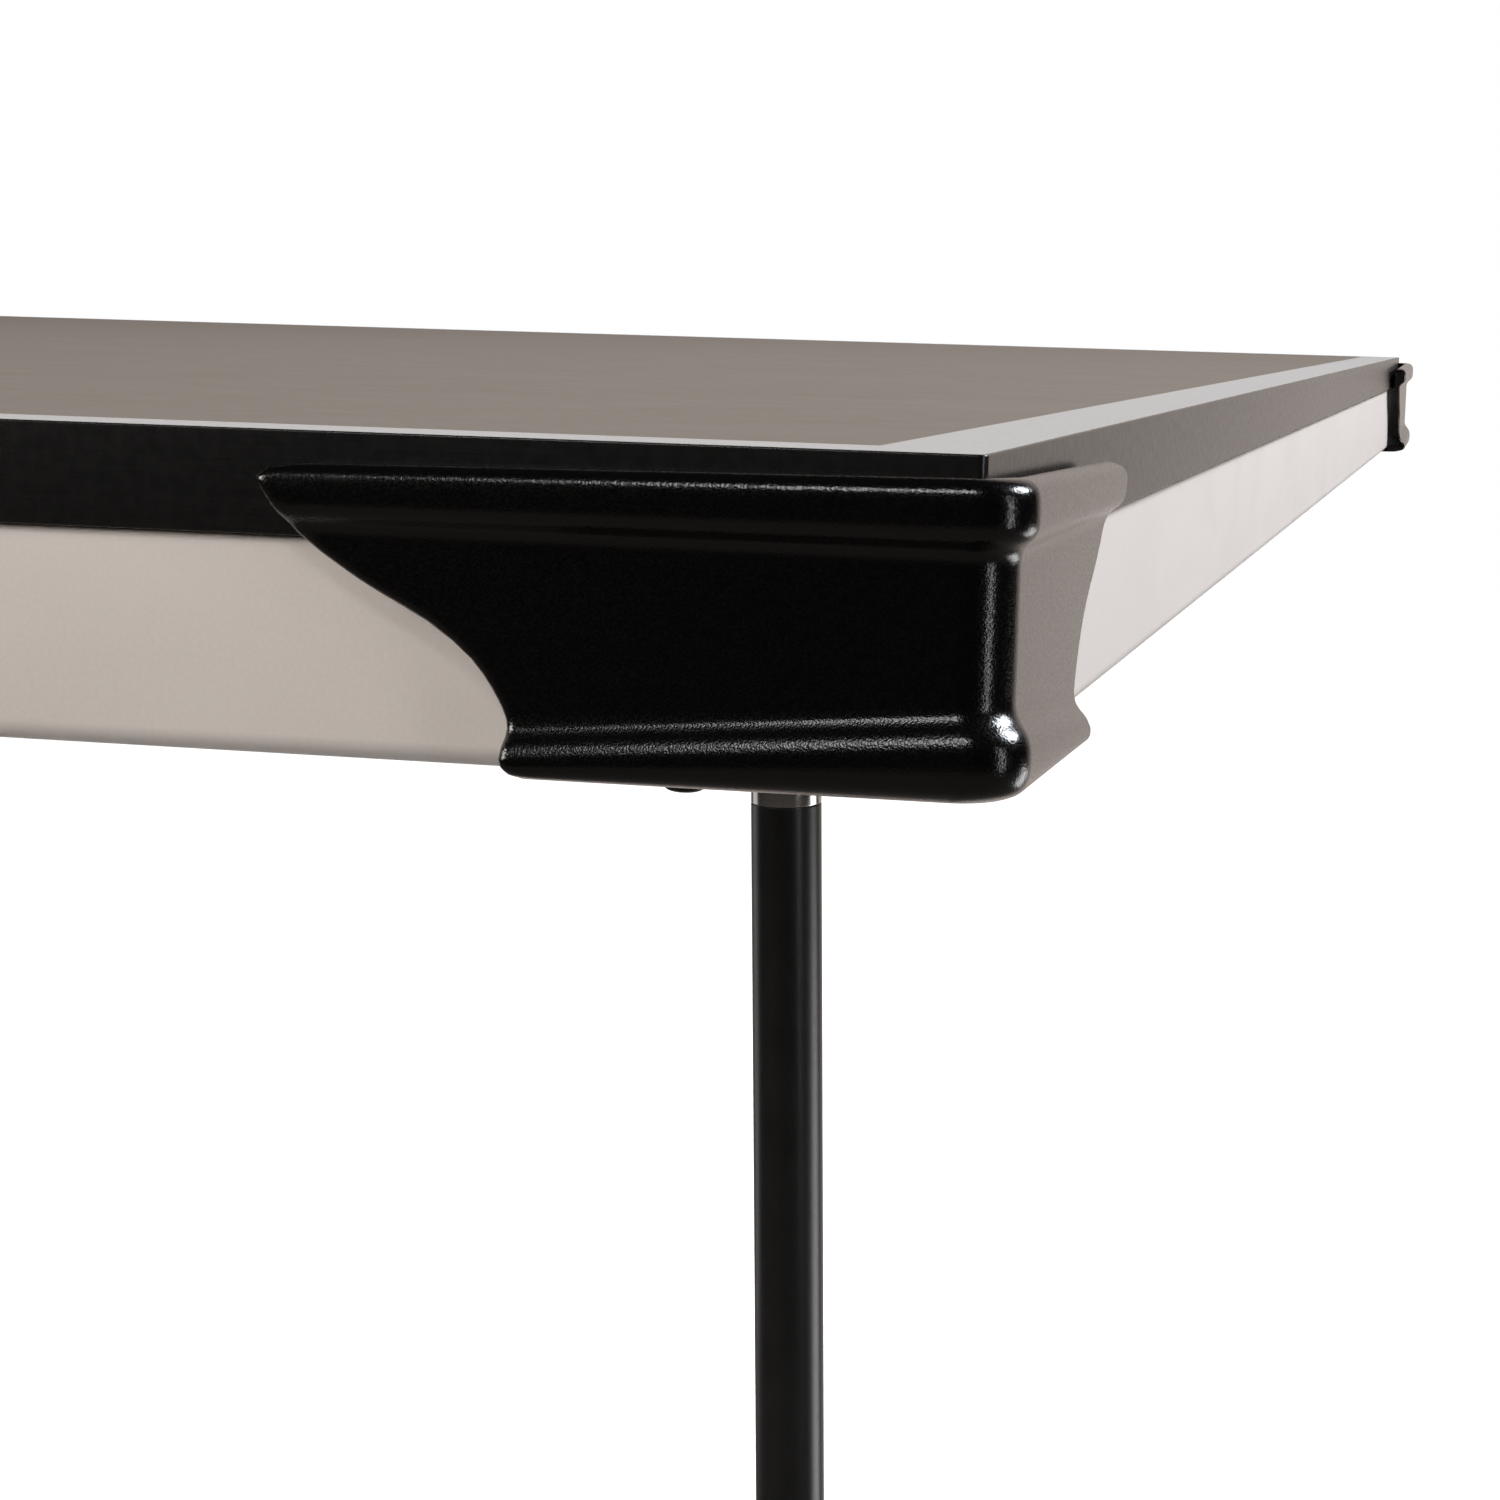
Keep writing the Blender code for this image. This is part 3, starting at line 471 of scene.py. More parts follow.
SIDES = (("left", -1), ("right", 1))
ROWS = (("front", -1), ("rear", 1))


# -------- board and aprons
def board():
    """Laminated panel: drawing surface on top, a dark band round the edge, a pale backing underneath."""
    bm = bmesh.new()
    edge, corner_r, least_r = 0.00035, 0.0015, 0.0002
    arc = [(edge * (1 - math.cos(math.radians(a))), edge * (1 - math.sin(math.radians(a))))
           for a in range(90, -1, -18)]
    levels = [(0.0006, 0.0)] + [(inset, -fall) for inset, fall in arc]
    levels += [(inset, fall - BOARD_T) for inset, fall in reversed(arc)] + [(0.0010, -BOARD_T)]
    rings = []
    for inset, z in levels:
        r, ring = max(corner_r - inset, least_r), []
        for qx, qy, base in ((1, 1, 0), (-1, 1, 90), (-1, -1, 180), (1, -1, 270)):
            cx, cy = qx * (LENGTH / 2 - corner_r), qy * (DEPTH / 2 - corner_r)
            for turn in (math.radians(base + 22.5 * k) for k in range(5)):
                ring.append(bm.verts.new((cx + r * math.cos(turn), cy + r * math.sin(turn), TOP_Z + z)))
        rings.append(ring)
    bridge(bm, rings, 1)
    bm.faces.new(rings[0]).material_index = 0
    bm.faces.new(rings[-1][::-1]).material_index = 2
    piece("board_panel", bm, "top", ["drawing_surface", "edge_band", "backing"], "board")


def bar_of(node, along_x):
    """Axes, run, width and height of a straight bar that fills a CAD node's box."""
    low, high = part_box(node)
    if along_x:
        return ALONG_X, (low.x, high.x), (low.y, high.y), (low.z, high.z)
    return ALONG_Y, (-high.y, -low.y), (low.x, high.x), (low.z, high.z)


def aprons():
    """Laminated rails under the board's edge, with a rounded lower outer edge."""
    for name, sign in ROWS + SIDES:
        axes, run, across, (foot, head) = bar_of(f"apron_{name}", name in dict(ROWS))
        inner, outer = across if sign > 0 else across[::-1]
        outline = [(inner, foot, 0.0006), (inner, head, 0.0004), (outer, head, 0.0007), (outer, foot, 0.0034)]
        piece(f"apron_panel_{name}", prism(bmesh.new(), rounded(outline, 8), *run, axes), "top",
              "apron_laminate", f"apron_{name}")


# -------- corner caps
# Sizes of the cap are in millimetres: outward from the board's edge, up from the drawing surface.
# First its outer face at the corner, from its top lip to the tip of its flange.
CAP_FACE = ((3.6, -3.4), (4.4, -3.15), (5.4, -3.15), (6.4, -3.5), (7.2, -4.15), (7.75, -5.1), (8.0, -6.4),
            (8.05, -8.2), (8.0, -9.9), (7.75, -11.0), (7.15, -12.0), (6.3, -12.9), (5.6, -13.7), (5.15, -14.7),
            (5.0, -15.9), (5.0, -18.0), (5.0, -22.0), (5.0, -27.0), (5.0, -32.0), (5.0, -35.2), (5.05, -36.3),
            (5.35, -37.4), (6.0, -38.6), (6.85, -39.7), (7.5, -40.9), (7.9, -42.3), (8.0, -44.0), (7.9, -45.7),
            (7.5, -47.3), (6.7, -48.7), (5.4, -49.7), (3.6, -50.4), (1.4, -50.7), (-1.0, -50.8), (-8.0, -50.8),
            (-14.6, -50.8))
# Where the legs of the cap end: height and distance from the board's corner.
CAP_END = ((-4.6, 103.6), (-4.9, 105.8), (-5.5, 107.9), (-6.8, 109.2), (-8.4, 108.5), (-10.7, 106.9),
           (-13.2, 105.2), (-15.2, 103.5), (-16.4, 101.9), (-18.1, 99.6), (-19.6, 97.3), (-21.2, 94.8),
           (-22.8, 92.1), (-24.2, 89.4), (-25.7, 86.4), (-26.7, 84.5), (-27.8, 82.6), (-29.2, 80.5),
           (-30.7, 78.5), (-32.5, 76.4), (-34.1, 74.9), (-35.8, 73.6), (-37.6, 72.4), (-39.9, 71.1),
           (-41.6, 70.4), (-43.0, 70.15), (-44.3, 70.2), (-45.8, 70.5), (-47.5, 70.6), (-48.5, 70.3),
           (-49.7, 69.4), (-50.3, 68.6), (-51.5, 68.2))
CAP_LIP_FALL = 0.015                # fall of the lip along each leg, per unit of leg
CAP_LIP_FROM, CAP_LIP_BLEND = -14.0, 10.0   # height above which the lip falls, and how gradually that sets in
CAP_FOOT_FALL = 0.080               # fall of the lower bead's shoulder along each leg
CAP_FOOT_SHARE = ((-26.0, 0.0), (-37.3, 1.0), (-41.4, 0.91), (-44.8, 0.62), (-48.0, 0.25), (-50.0, 0.05),
                  (-51.0, 0.0))     # share of that fall at each height
CAP_ARC_IN, CAP_ARC_R = 4.0, 8.5    # arc of the corner in plan: greatest inset of its centre, largest radius
CAP_TURNS = 24                      # steps round the corner
CAP_EDGE_R = 1.35                   # rounding of the shaped end
CAP_DROPS = (0.0, 0.08, 0.25, 0.5, 0.85, 1.35, 2.2)     # distances from the end at which that rounding is drawn
CAP_LIP_Z, CAP_BAND_Z, CAP_FLANGE_Z = -5.2, -16.3, -50.0     # foot of the lip and of the edge band, flange top
CAP_LIP_OUT, CAP_BY_BAND, CAP_BY_APRON = 2.6, 2.5, -1.2      # inner wall under the lip, by the band and apron


def between(table, z):
    """Value at height z in a table that runs downward, and how fast it changes."""
    if z >= table[0][0]:
        return table[0][1], 0.0
    for (za, va), (zb, vb) in zip(table, table[1:]):
        if z >= zb:
            return va + (vb - va) * (za - z) / (za - zb), (vb - va) / (za - zb)
    return table[-1][1], 0.0


def cap_height(z, run):
    """Height of a point of the cap's face at a distance along its leg: both beads taper towards the end."""
    lip = min(max((z - CAP_LIP_FROM) / CAP_LIP_BLEND, 0.0), 1.0)
    return z - run * (CAP_LIP_FALL * lip + CAP_FOOT_FALL * between(CAP_FOOT_SHARE, z)[0])


def cap_end(z):
    """Where a cap leg ends for a point of the face, from the corner, and how fast that changes."""
    end = 90.0                      # a first guess, which settles within these rounds
    for _ in range(24):
        end = between(CAP_END, cap_height(z, end))[0]
    return end, between(CAP_END, cap_height(z, end))[1]


def cap_back(out, z):
    """Point of the cap's inner wall that matches a point of its face."""
    if z > CAP_LIP_Z:
        return (min(out, CAP_LIP_OUT + 0.5 * (z - CAP_LIP_Z)), z - 0.25)
    if z > CAP_BAND_Z:
        return (CAP_BY_BAND, z)
    if out > 0.0:
        return (CAP_BY_APRON, max(z, CAP_FLANGE_Z))
    return (min(out, CAP_BY_APRON), CAP_FLANGE_Z)


def corner_cap(row, sy, side, sx):
    """Moulded corner cap: two beads with a waist between them, wrapped round the corner to a flowing end."""
    bm = bmesh.new()
    corner = Vector((sx * LENGTH / 2, sy * DEPTH / 2, TOP_Z))

    def place(x, y, z):
        return bm.verts.new(corner + Vector((sx * x, sy * y, cap_height(z, max(-min(x, y), 0.0)))) * MM)

    rows = []
    for out, z in smooth_line(CAP_FACE, 3):
        back_out, back_z = cap_back(out, z)
        thick = math.hypot(out - back_out, z - back_z)
        end, slope = cap_end(z)
        lean = min(math.sqrt(1 + slope * slope), 3.0)
        limit = min(CAP_EDGE_R, 0.8 * thick)
        leg_line = []
        for drop in CAP_DROPS:
            pull = limit * (1 - math.sqrt(max(1 - (1 - min(drop / CAP_EDGE_R, 1.0)) ** 2, 0.0)))
            k = pull / thick if thick > 1e-6 else 0.0
            leg_line.append((end - drop * lean, out + (back_out - out) * k, z + (back_z - z) * k))
        radius = min(max(out + CAP_ARC_IN, 0.0), CAP_ARC_R)
        turn_at = out - radius
        outer = [place(-s, o, h) for s, o, h in leg_line]
        for step in range(CAP_TURNS + 1):
            turn = math.radians(90 - 90 * step / CAP_TURNS)
            outer.append(place(turn_at + radius * math.cos(turn), turn_at + radius * math.sin(turn), z))
        outer += [place(o, -s, h) for s, o, h in reversed(leg_line)]
        inner = [place(-end, back_out, back_z), place(back_out, back_out, back_z),
                 place(back_out, -end, back_z)]
        rows.append((outer, inner))
    for (outer, inner), (outer_2, inner_2) in zip(rows, rows[1:]):
        for k in range(len(outer) - 1):
            bm.faces.new((outer[k], outer[k + 1], outer_2[k + 1], outer_2[k]))
        for k in (0, 1):
            bm.faces.new((inner[k], inner_2[k], inner_2[k + 1], inner[k + 1]))
        for k in (0, -1):
            bm.faces.new((outer[k], outer_2[k], inner_2[k], inner[k]))
    for outer, inner in (rows[0], rows[-1]):
        bm.faces.new(outer + inner[::-1])
    tag = f"{row}_{side}"
    piece(f"cap_shell_{tag}", bm, "top", "grained_plastic", f"corner_cap_{tag}", 42.0)


def screw_head(radius, height):
    """Mesh of a domed screw head with a cross recess: seat at z = 0, the recess in the second material, which
    paints shade into it.
    """
    turns = [math.radians(a) for a in range(0, 91, 9)]
    dome = [(radius * math.sin(a) ** 0.85, height * (0.50 + 0.50 * math.cos(a))) for a in turns]
    head, tool = bmesh.new(), bmesh.new()
    lathe(head, dome + [(radius, 0.0), (0.0, 0.0)], segments=40)
    a, b = radius * 0.55, radius * 0.13
    cross = [(b, b), (a, b), (a, -b), (b, -b), (b, -a), (-b, -a), (-b, -b), (-a, -b), (-a, b), (-b, b),
             (-b, a), (b, a)]
    # The recess faces carry the second material, a near-black painted shade.
    prism(tool, cross[::-1], height * 0.45, height * 1.5, part=1)
    made = []
    for bm, name in ((head, "screw_head"), (tool, "screw_recess")):
        bmesh.ops.remove_doubles(bm, verts=bm.verts, dist=1e-6)
        bmesh.ops.recalc_face_normals(bm, faces=bm.faces)
        made.append(mesh_object(name, bm, [MATS["black_screw"], MATS["painted_shade_recess"]]))
    cut = made[0].modifiers.new("painted_shade_recess", "BOOLEAN")
    cut.operation, cut.solver, cut.object = "DIFFERENCE", "EXACT", made[1]
    result = bpy.data.meshes.new_from_object(made[0].evaluated_get(bpy.context.evaluated_depsgraph_get()))
    for obj in made:
        bpy.data.objects.remove(obj)
    return result


def put_mesh(bm, mesh, axes):
    """Add a copy of a mesh, placed at `axes`."""
    copy = mesh.copy()
    copy.transform(axes)
    bm.from_mesh(copy)
    bpy.data.meshes.remove(copy)
    return bm


CAP_SCREW_HEAD = screw_head(0.00312, 0.0019)
PAN_SCREW_HEAD = screw_head(0.0036, 0.0019)


def cap_screws():
    """Domed wood screws up through the cap flanges into the aprons."""
    seat, shank = TOP_Z - 0.0511, 0.0019
    for name in [n for n in frame["nodes"] if n.startswith("cap_screw_")]:
        low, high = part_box(name)
        x, y = (low.x + high.x) / 2, (low.y + high.y) / 2
        bm = put_mesh(bmesh.new(), CAP_SCREW_HEAD, axes_frame((x, y, seat), (1, 0, 0), (0, 0, -1)))
        lathe(bm, [(0.0, seat - 0.0002), (shank, seat - 0.0002), (shank, high.z - 0.0030), (0.0, high.z)],
              Matrix.Translation((x, y, 0)), 24)
        piece(name.replace("cap_screw", "screw"), bm, "top", ["black_screw", "painted_shade_recess"], name)


def screw_row(name, body, seats, direction):
    """Pan-head screws with their seats at these places and their heads towards a direction."""
    screws = bmesh.new()
    for seat in seats:
        put_mesh(screws, PAN_SCREW_HEAD, axes_frame(seat, (1, 0, 0), direction))
    piece(name, screws, body, ["black_screw", "painted_shade_recess"])


# -------- pencil ledge
def ledge():
    """Anodised extrusion with a rolled front lip, a grooved floor and moulded end plugs."""
    low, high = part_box("pencil_ledge")
    y0, y1, z0, z1 = low.y, high.y, low.z, high.z
    plug_t, groove_pitch, groove_d, floor = 0.0016, 0.0052, 0.0005, z0 + 0.0018
    corners = [(y0, z0, 0.0006), (y1, z0, 0.0006), (y1, z0 + 0.0042, 0.0012),
               (y1 - 0.0026, z0 + 0.0050, 0.0011), (y1 - 0.0032, floor, 0.0009)]
    for k in range(5):
        y = y1 - 0.0085 - groove_pitch * k
        corners += [(y, floor, 0.0002), (y - 0.0003, floor - groove_d, 0.0002),
                    (y - 0.0011, floor - groove_d, 0.0002), (y - 0.0014, floor, 0.0002)]
    corners += [(y0 + 0.0026, floor, 0.0010), (y0 + 0.0019, z1 - 0.0004, 0.0009), (y0, z1 - 0.0004, 0.0009)]
    piece("ledge_extrusion",
          prism(bmesh.new(), rounded(corners, 4), low.x + plug_t, high.x - plug_t, ALONG_X), "top",
          "anodised_aluminium", "pencil_ledge")
    plug = rounded([(y0, z0, 0.0008), (y1, z0, 0.0008), (y1, z0 + 0.0050, 0.0020),
                    (y0 + 0.0060, z0 + 0.0060, 0.0040), (y0 + 0.0024, z1, 0.0010), (y0, z1, 0.0010)], 5)
    for side, sx in SIDES:
        run = sorted((sx * high.x, sx * (high.x - plug_t)))
        soften(piece(f"ledge_plug_{side}", prism(bmesh.new(), plug, *run, ALONG_X), "top",
                     "moulded_knob"), 0.0004)


# -------- sub-frame
def rails():
    """Rectangular steel tubes with rolled corners."""
    for name, _ in ROWS + SIDES:
        axes, run, (a0, a1), (z0, z1) = bar_of(f"rail_{name}", name in dict(ROWS))
        outside, inside = (
            rounded([(a0 + t, z0 + t, r), (a1 - t, z0 + t, r), (a1 - t, z1 - t, r), (a0 + t, z1 - t, r)], 6)
            for t, r in ((0.0, 0.0030), (RAIL_WALL, 0.0012)))
        bm = prism(bmesh.new(), outside, *run, axes, [inside])
        piece(f"tube_rail_{name}", bm, "base", "satin_paint", f"rail_{name}")


def hex_bolt(bm, axes, across=0.010, height=0.0045, washer=0.0075):
    """Hexagon bolt head on a washer, its seat on the local XY plane of `axes`."""
    lathe(bm, rounded([(0.0, 0.0, 0), (washer, 0.0, 0), (washer, WASHER_T, 0.0003), (0.0, WASHER_T, 0)], 2),
          axes, 40)
    half, sixth, steps = across / 2, math.radians(60), 36
    rings = [[], [], []]
    for k in range(steps):
        turn = 2 * math.pi * k / steps
        reach = half / math.cos((turn + sixth / 2) % sixth - sixth / 2)
        drop = max(reach - half * 0.99, 0.0) * 0.55
        levels = ((reach, WASHER_T), (reach, height - 0.0003 - drop), (half * 0.93, height))
        for ring, (r, z) in zip(rings, levels):
            ring.append(spin(bm, axes, r, turn, z))
    bridge(bm, rings)
    bm.faces.new(rings[-1])
    bm.faces.new(rings[0][::-1])
    return bm


LEG_X = centre_of("rail_right").x
LEG_Y = {row: centre_of(f"rail_{row}").y for row, _ in ROWS}
ANCHOR = 0.040                      # depth below the drawing surface at which the leg axes pass the rails
SPLAY_X, SPLAY_Y = 0.0482, 0.0241   # run of a leg's axis to the side per unit of height
TUBE_R, TUBE_WALL = 0.01905, 0.0015
TUBE_LIFT = 0.0105                  # foot of the outer tube above the floor
INNER_R, INNER_WALL = 0.0160, 0.002
INNER_FOOT, INNER_TOP = 0.500, 0.036        # depths of the inner tube's ends below the drawing surface
FERRULE_FOOT, FERRULE_H = 0.2451, 0.044     # collar: depth of its foot below the drawing surface, height
BOSS_UP, BOSS_OUT, BOSS_R = 0.0265, 0.030, 0.0080       # clamp boss: height on the collar, reach, radius
GLIDE_R, GLIDE_H = 0.0220, 0.032


def leg_frame(sx, row, sy):
    """Frame on a leg's axis where it passes the rails: local Z up the leg, local X outward."""
    up = Vector((-sx * SPLAY_X, -sy * SPLAY_Y, 1.0))
    return axes_frame((sx * LEG_X, LEG_Y[row], TOP_Z - ANCHOR), (sx, 0, 0), up)


def down(depth):
    """Local height on a leg axis at a depth below the drawing surface."""
    return -(depth - ANCHOR) * math.sqrt(1 + SPLAY_X ** 2 + SPLAY_Y ** 2)


def socket(row, sy, side, sx):
    """Cast corner block with a sleeve for the leg, bolted to both rails."""
    tag, axes = f"{row}_{side}", leg_frame(sx, row, sy)
    x, y, half, block_r, edge_r = sx * LEG_X, LEG_Y[row], 0.023, 0.005, 0.0028
    z0, z1 = TOP_Z - 0.076, TOP_Z - 0.024
    bm = bmesh.new()
    turns = [math.radians(22.5 * k) for k in range(5)]
    arc = [(edge_r * (1 - math.sin(a)), edge_r * (1 - math.cos(a))) for a in turns]
    rings = []
    for inset, z in ([(inset, z0 + rise) for inset, rise in arc]
                     + [(inset, z1 - rise) for inset, rise in reversed(arc)]):
        reach, r = half - inset, block_r - inset
        corners = [(qx * reach, qy * reach, r) for qx, qy in ((1, 1), (-1, 1), (-1, -1), (1, -1))]
        rings.append([bm.verts.new((x + cx, y + cy, z)) for cx, cy in rounded(corners, 6)])
    bridge(bm, rings)
    bm.faces.new(rings[0][::-1])

    bore, steps, sleeve_foot = INNER_R + 0.0003, 48, down(0.105)
    along = axes.to_3x3() @ Vector((0, 0, 1))
    hole, foot = [], []
    for k in range(steps):
        turn = 2 * math.pi * k / steps
        point = axes @ Vector((bore * math.cos(turn), bore * math.sin(turn), 0.0))
        hole.append(bm.verts.new(point + along * ((z1 - point.z) / along.z)))
        foot.append(spin(bm, axes, bore, turn, sleeve_foot + 0.002))
    bmesh.ops.triangle_fill(bm, edges=edges_of(bm, rings[-1]) + edges_of(bm, hole), use_beauty=True)
    bridge(bm, (hole, foot))
    sleeve = [(bore, sleeve_foot + 0.0004), (bore + 0.0004, sleeve_foot), (0.0198, sleeve_foot),
              (0.0207, sleeve_foot + 0.0004), (0.0210, sleeve_foot + 0.0013), (0.0210, down(0.0815)),
              (0.0213, down(0.0792)), (0.0221, down(0.0772)), (0.0226, down(0.0762)), (0.0226, down(0.0700)),
              (bore + 0.0001, down(0.0700))]
    lathe(bm, sleeve, axes, 72)
    piece(f"casting_{tag}", bm, "base", "textured_paint", f"socket_{tag}", 40)

    bolts = bmesh.new()
    for z in (TOP_Z - 0.038, TOP_Z - 0.062):
        hex_bolt(bolts, axes_frame((x + sx * half, y, z), (0, 0, 1), (sx, 0, 0)))
        hex_bolt(bolts, axes_frame((x, y + sy * half, z), (0, 0, 1), (0, sy, 0)))
    piece(f"casting_bolts_{tag}", bolts, "base", "zinc_steel")
    grub = [(0.0, 0.0200, 0), (0.0040, 0.0200, 0), (0.0040, 0.0224, 0.0005), (0.0020, 0.0224, 0.0002),
            (0.0018, 0.0208, 0), (0.0, 0.0208, 0)]
    seat = axes @ axes_frame((0, 0, down(0.093)), (0, 0, 1), (-1, 0, 0))
    piece(f"sleeve_screw_{tag}", lathe(bmesh.new(), rounded(grub, 3), seat, 32), "base",
          "black_screw")


def leg(row, sy, side, sx):
    """Telescopic leg: inner tube, collar with a clamp boss, outer tube, foot glide and clamp knob."""
    axes, tag = leg_frame(sx, row, sy), f"{row}_{side}"
    body = f"leg_{tag}"
    low, high = down(INNER_FOOT), down(INNER_TOP)
    inner = [(INNER_R - INNER_WALL, low + 0.0006), (INNER_R - INNER_WALL + 0.0005, low),
             (INNER_R - 0.0012, low),
             (INNER_R - 0.0004, low + 0.0004), (INNER_R, low + 0.0014), (INNER_R, high - 0.0006),
             (INNER_R - 0.0006, high), (INNER_R - INNER_WALL, high)]
    piece(f"slide_tube_{tag}", lathe(bmesh.new(), inner, axes, 96), "base", "polished_metal",
          f"inner_tube_{tag}")

    low, tube_bore = down(FERRULE_FOOT), TUBE_R - TUBE_WALL
    bore, plug_r, plug_foot = INNER_R + 0.0001, tube_bore - 0.0003, low - 0.018
    ring = rounded([(bore, plug_foot, 0), (plug_r, plug_foot, 0.0004), (plug_r, low, 0), (TUBE_R, low, 0.0005),
                    (TUBE_R, low + FERRULE_H, 0.0022), (bore, low + FERRULE_H, 0.0004)], 5)
    bm = lathe(bmesh.new(), ring, axes, 96)
    outward = axes @ axes_frame((0, 0, low + BOSS_UP), (0, 0, 1), (1, 0, 0))
    boss = [(0.0031, 0.0172), (BOSS_R + 0.0020, 0.0172), (BOSS_R + 0.0016, 0.0188), (BOSS_R + 0.0007, 0.0203),
            (BOSS_R + 0.0001, 0.0222), (BOSS_R, 0.0240), (BOSS_R, BOSS_OUT - 0.0014),
            (BOSS_R - 0.0004, BOSS_OUT - 0.0004), (BOSS_R - 0.0014, BOSS_OUT), (0.0036, BOSS_OUT),
            (0.0031, BOSS_OUT - 0.0005)]
    lathe(bm, boss, outward, 64)
    piece(f"collar_{tag}", bm, body, "polished_metal", f"ferrule_{tag}", 40)

    floor = down(TOP_Z)
    tube_low, rim = floor + TUBE_LIFT, floor + GLIDE_H
    tube = [(tube_bore, tube_low), (TUBE_R, tube_low), (TUBE_R, low - 0.0008), (TUBE_R - 0.0004, low - 0.0003),
            (tube_bore, low - 0.0003)]
    piece(f"lower_tube_{tag}", lathe(bmesh.new(), tube, axes, 96), body, "black_gloss",
          f"outer_tube_{tag}")

    cup = [(0.0, floor - 0.010), (GLIDE_R - 0.0004, floor - 0.010), (GLIDE_R, floor + 0.0030)]
    height = floor + 0.0085
    while height < rim - 0.0065:
        cup += [(GLIDE_R, height), (GLIDE_R - 0.0008, height + 0.0006), (GLIDE_R - 0.0008, height + 0.0014),
                (GLIDE_R, height + 0.0020)]
        height += 0.0046
    cup += [(GLIDE_R, rim - 0.0030), (GLIDE_R - 0.0004, rim - 0.0014), (GLIDE_R - 0.0013, rim - 0.0004),
            (TUBE_R + 0.0012, rim), (TUBE_R + 0.0003, rim - 0.0008), (TUBE_R + 0.0003, tube_low - 0.0003),
            (0.0, tube_low - 0.0003)]
    bm = lathe(bmesh.new(), cup, axes, 72)
    bmesh.ops.remove_doubles(bm, verts=bm.verts, dist=2e-6)
    bmesh.ops.bisect_plane(bm, geom=bm.verts[:] + bm.edges[:] + bm.faces[:], plane_co=(0, 0, 0),
                           plane_no=(0, 0, 1), clear_inner=True)
    bmesh.ops.holes_fill(bm, edges=[edge for edge in bm.edges if edge.is_boundary])
    piece(f"glide_{tag}", bm, body, "glide_rubber", f"foot_glide_{tag}", 40)

    knob = star_knob(outward, 0.0160, 0.0030, BOSS_OUT + 0.0006, 0.0174, 0.0088)
    stud_r, stud_in, stud_out = 0.0030, INNER_R + 0.0004, BOSS_OUT + 0.003
    lathe(knob, [(0.0, stud_in), (stud_r - 0.0006, stud_in), (stud_r, stud_in + 0.0006), (stud_r, stud_out),
                 (0.0, stud_out)], outward, 24, 1)
    piece(f"clamp_knob_{tag}", knob, f"leg_knob_{tag}", ["moulded_knob", "zinc_steel"],
          f"leg_knob_{tag}", 50)


# Outline of a star knob above its hub: share of its height, share of its radius, depth of the scallops there.
KNOB_SHAPE = ((0.25, 0.80, 0.55), (0.28, 0.90, 0.85), (0.33, 0.965, 1.0), (0.41, 1.0, 1.0), (0.62, 1.0, 1.0),
              (0.80, 0.985, 1.0), (0.90, 0.945, 1.0), (0.96, 0.87, 0.92), (0.99, 0.76, 0.75), (1.0, 0.64, 0.4),
              (0.992, 0.54, 0.1), (0.95, 0.47, 0.0), (0.93, 0.40, 0.0))
KNOB_LOBES, KNOB_STEPS = 5, 120


def star_knob(axes, radius, scallop, low, height, hub, bore=0.0):
    """Five-lobed hand knob with a waisted hub, rounded lobes and a shallow dish on top."""
    shape = [(0.0, hub, 0.0), (0.0012, hub + 0.0002, 0.0), (0.17 * height, hub - 0.0002, 0.0),
             (0.22 * height, hub + 0.0012, 0.12)]
    shape += [(up * height, out * radius, depth) for up, out, depth in KNOB_SHAPE]
    turns = [2 * math.pi * k / KNOB_STEPS for k in range(KNOB_STEPS)]
    cuts = [scallop * (0.5 - 0.5 * math.cos(KNOB_LOBES * turn)) ** 1.25 for turn in turns]
    bm, rings = bmesh.new(), []
    for z, reach, depth in shape:
        rings.append([spin(bm, axes, reach - depth * cut, turn, low + z) for turn, cut in zip(turns, cuts)])
    if bore:
        rings += [[spin(bm, axes, bore, turn, low + z) for turn in turns] for z in (0.93 * height, 0.0)]
        rings.append(rings[0])
    bridge(bm, rings)
    if not bore:
        bm.faces.new(rings[0][::-1])
        bm.faces.new(rings[-1])
    return bm


# -------- hinges and tilt clamps
def hinges():
    """Softened edges on the CAD's hinges, and the screws that hold their leaves."""
    for side, _ in SIDES:
        for node, width in (("leaf_top", 0.00035), ("leaf_base", 0.00035), ("pin", 0.0003)):
            soften(frame["nodes"][f"hinge_{node}_{side}"], width)
        low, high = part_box(f"hinge_leaf_top_{side}")
        y, z = low.y + 0.0085, UNDERSIDE_Z - FIT_GAP - 0.002
        seats = [(x, y, z) for x in (low.x + 0.011, (low.x + high.x) / 2, high.x - 0.011)]
        screw_row(f"hinge_screws_top_{side}", "top", seats, (0, 0, -1))
        low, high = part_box(f"hinge_leaf_base_{side}")
        x, y = (low.x + high.x) / 2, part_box("rail_front")[0].y - FIT_GAP - 0.0025
        screw_row(f"hinge_screws_base_{side}", "base", [(x, y, low.z + up) for up in (0.008, 0.023)],
                  (0, -1, 0))


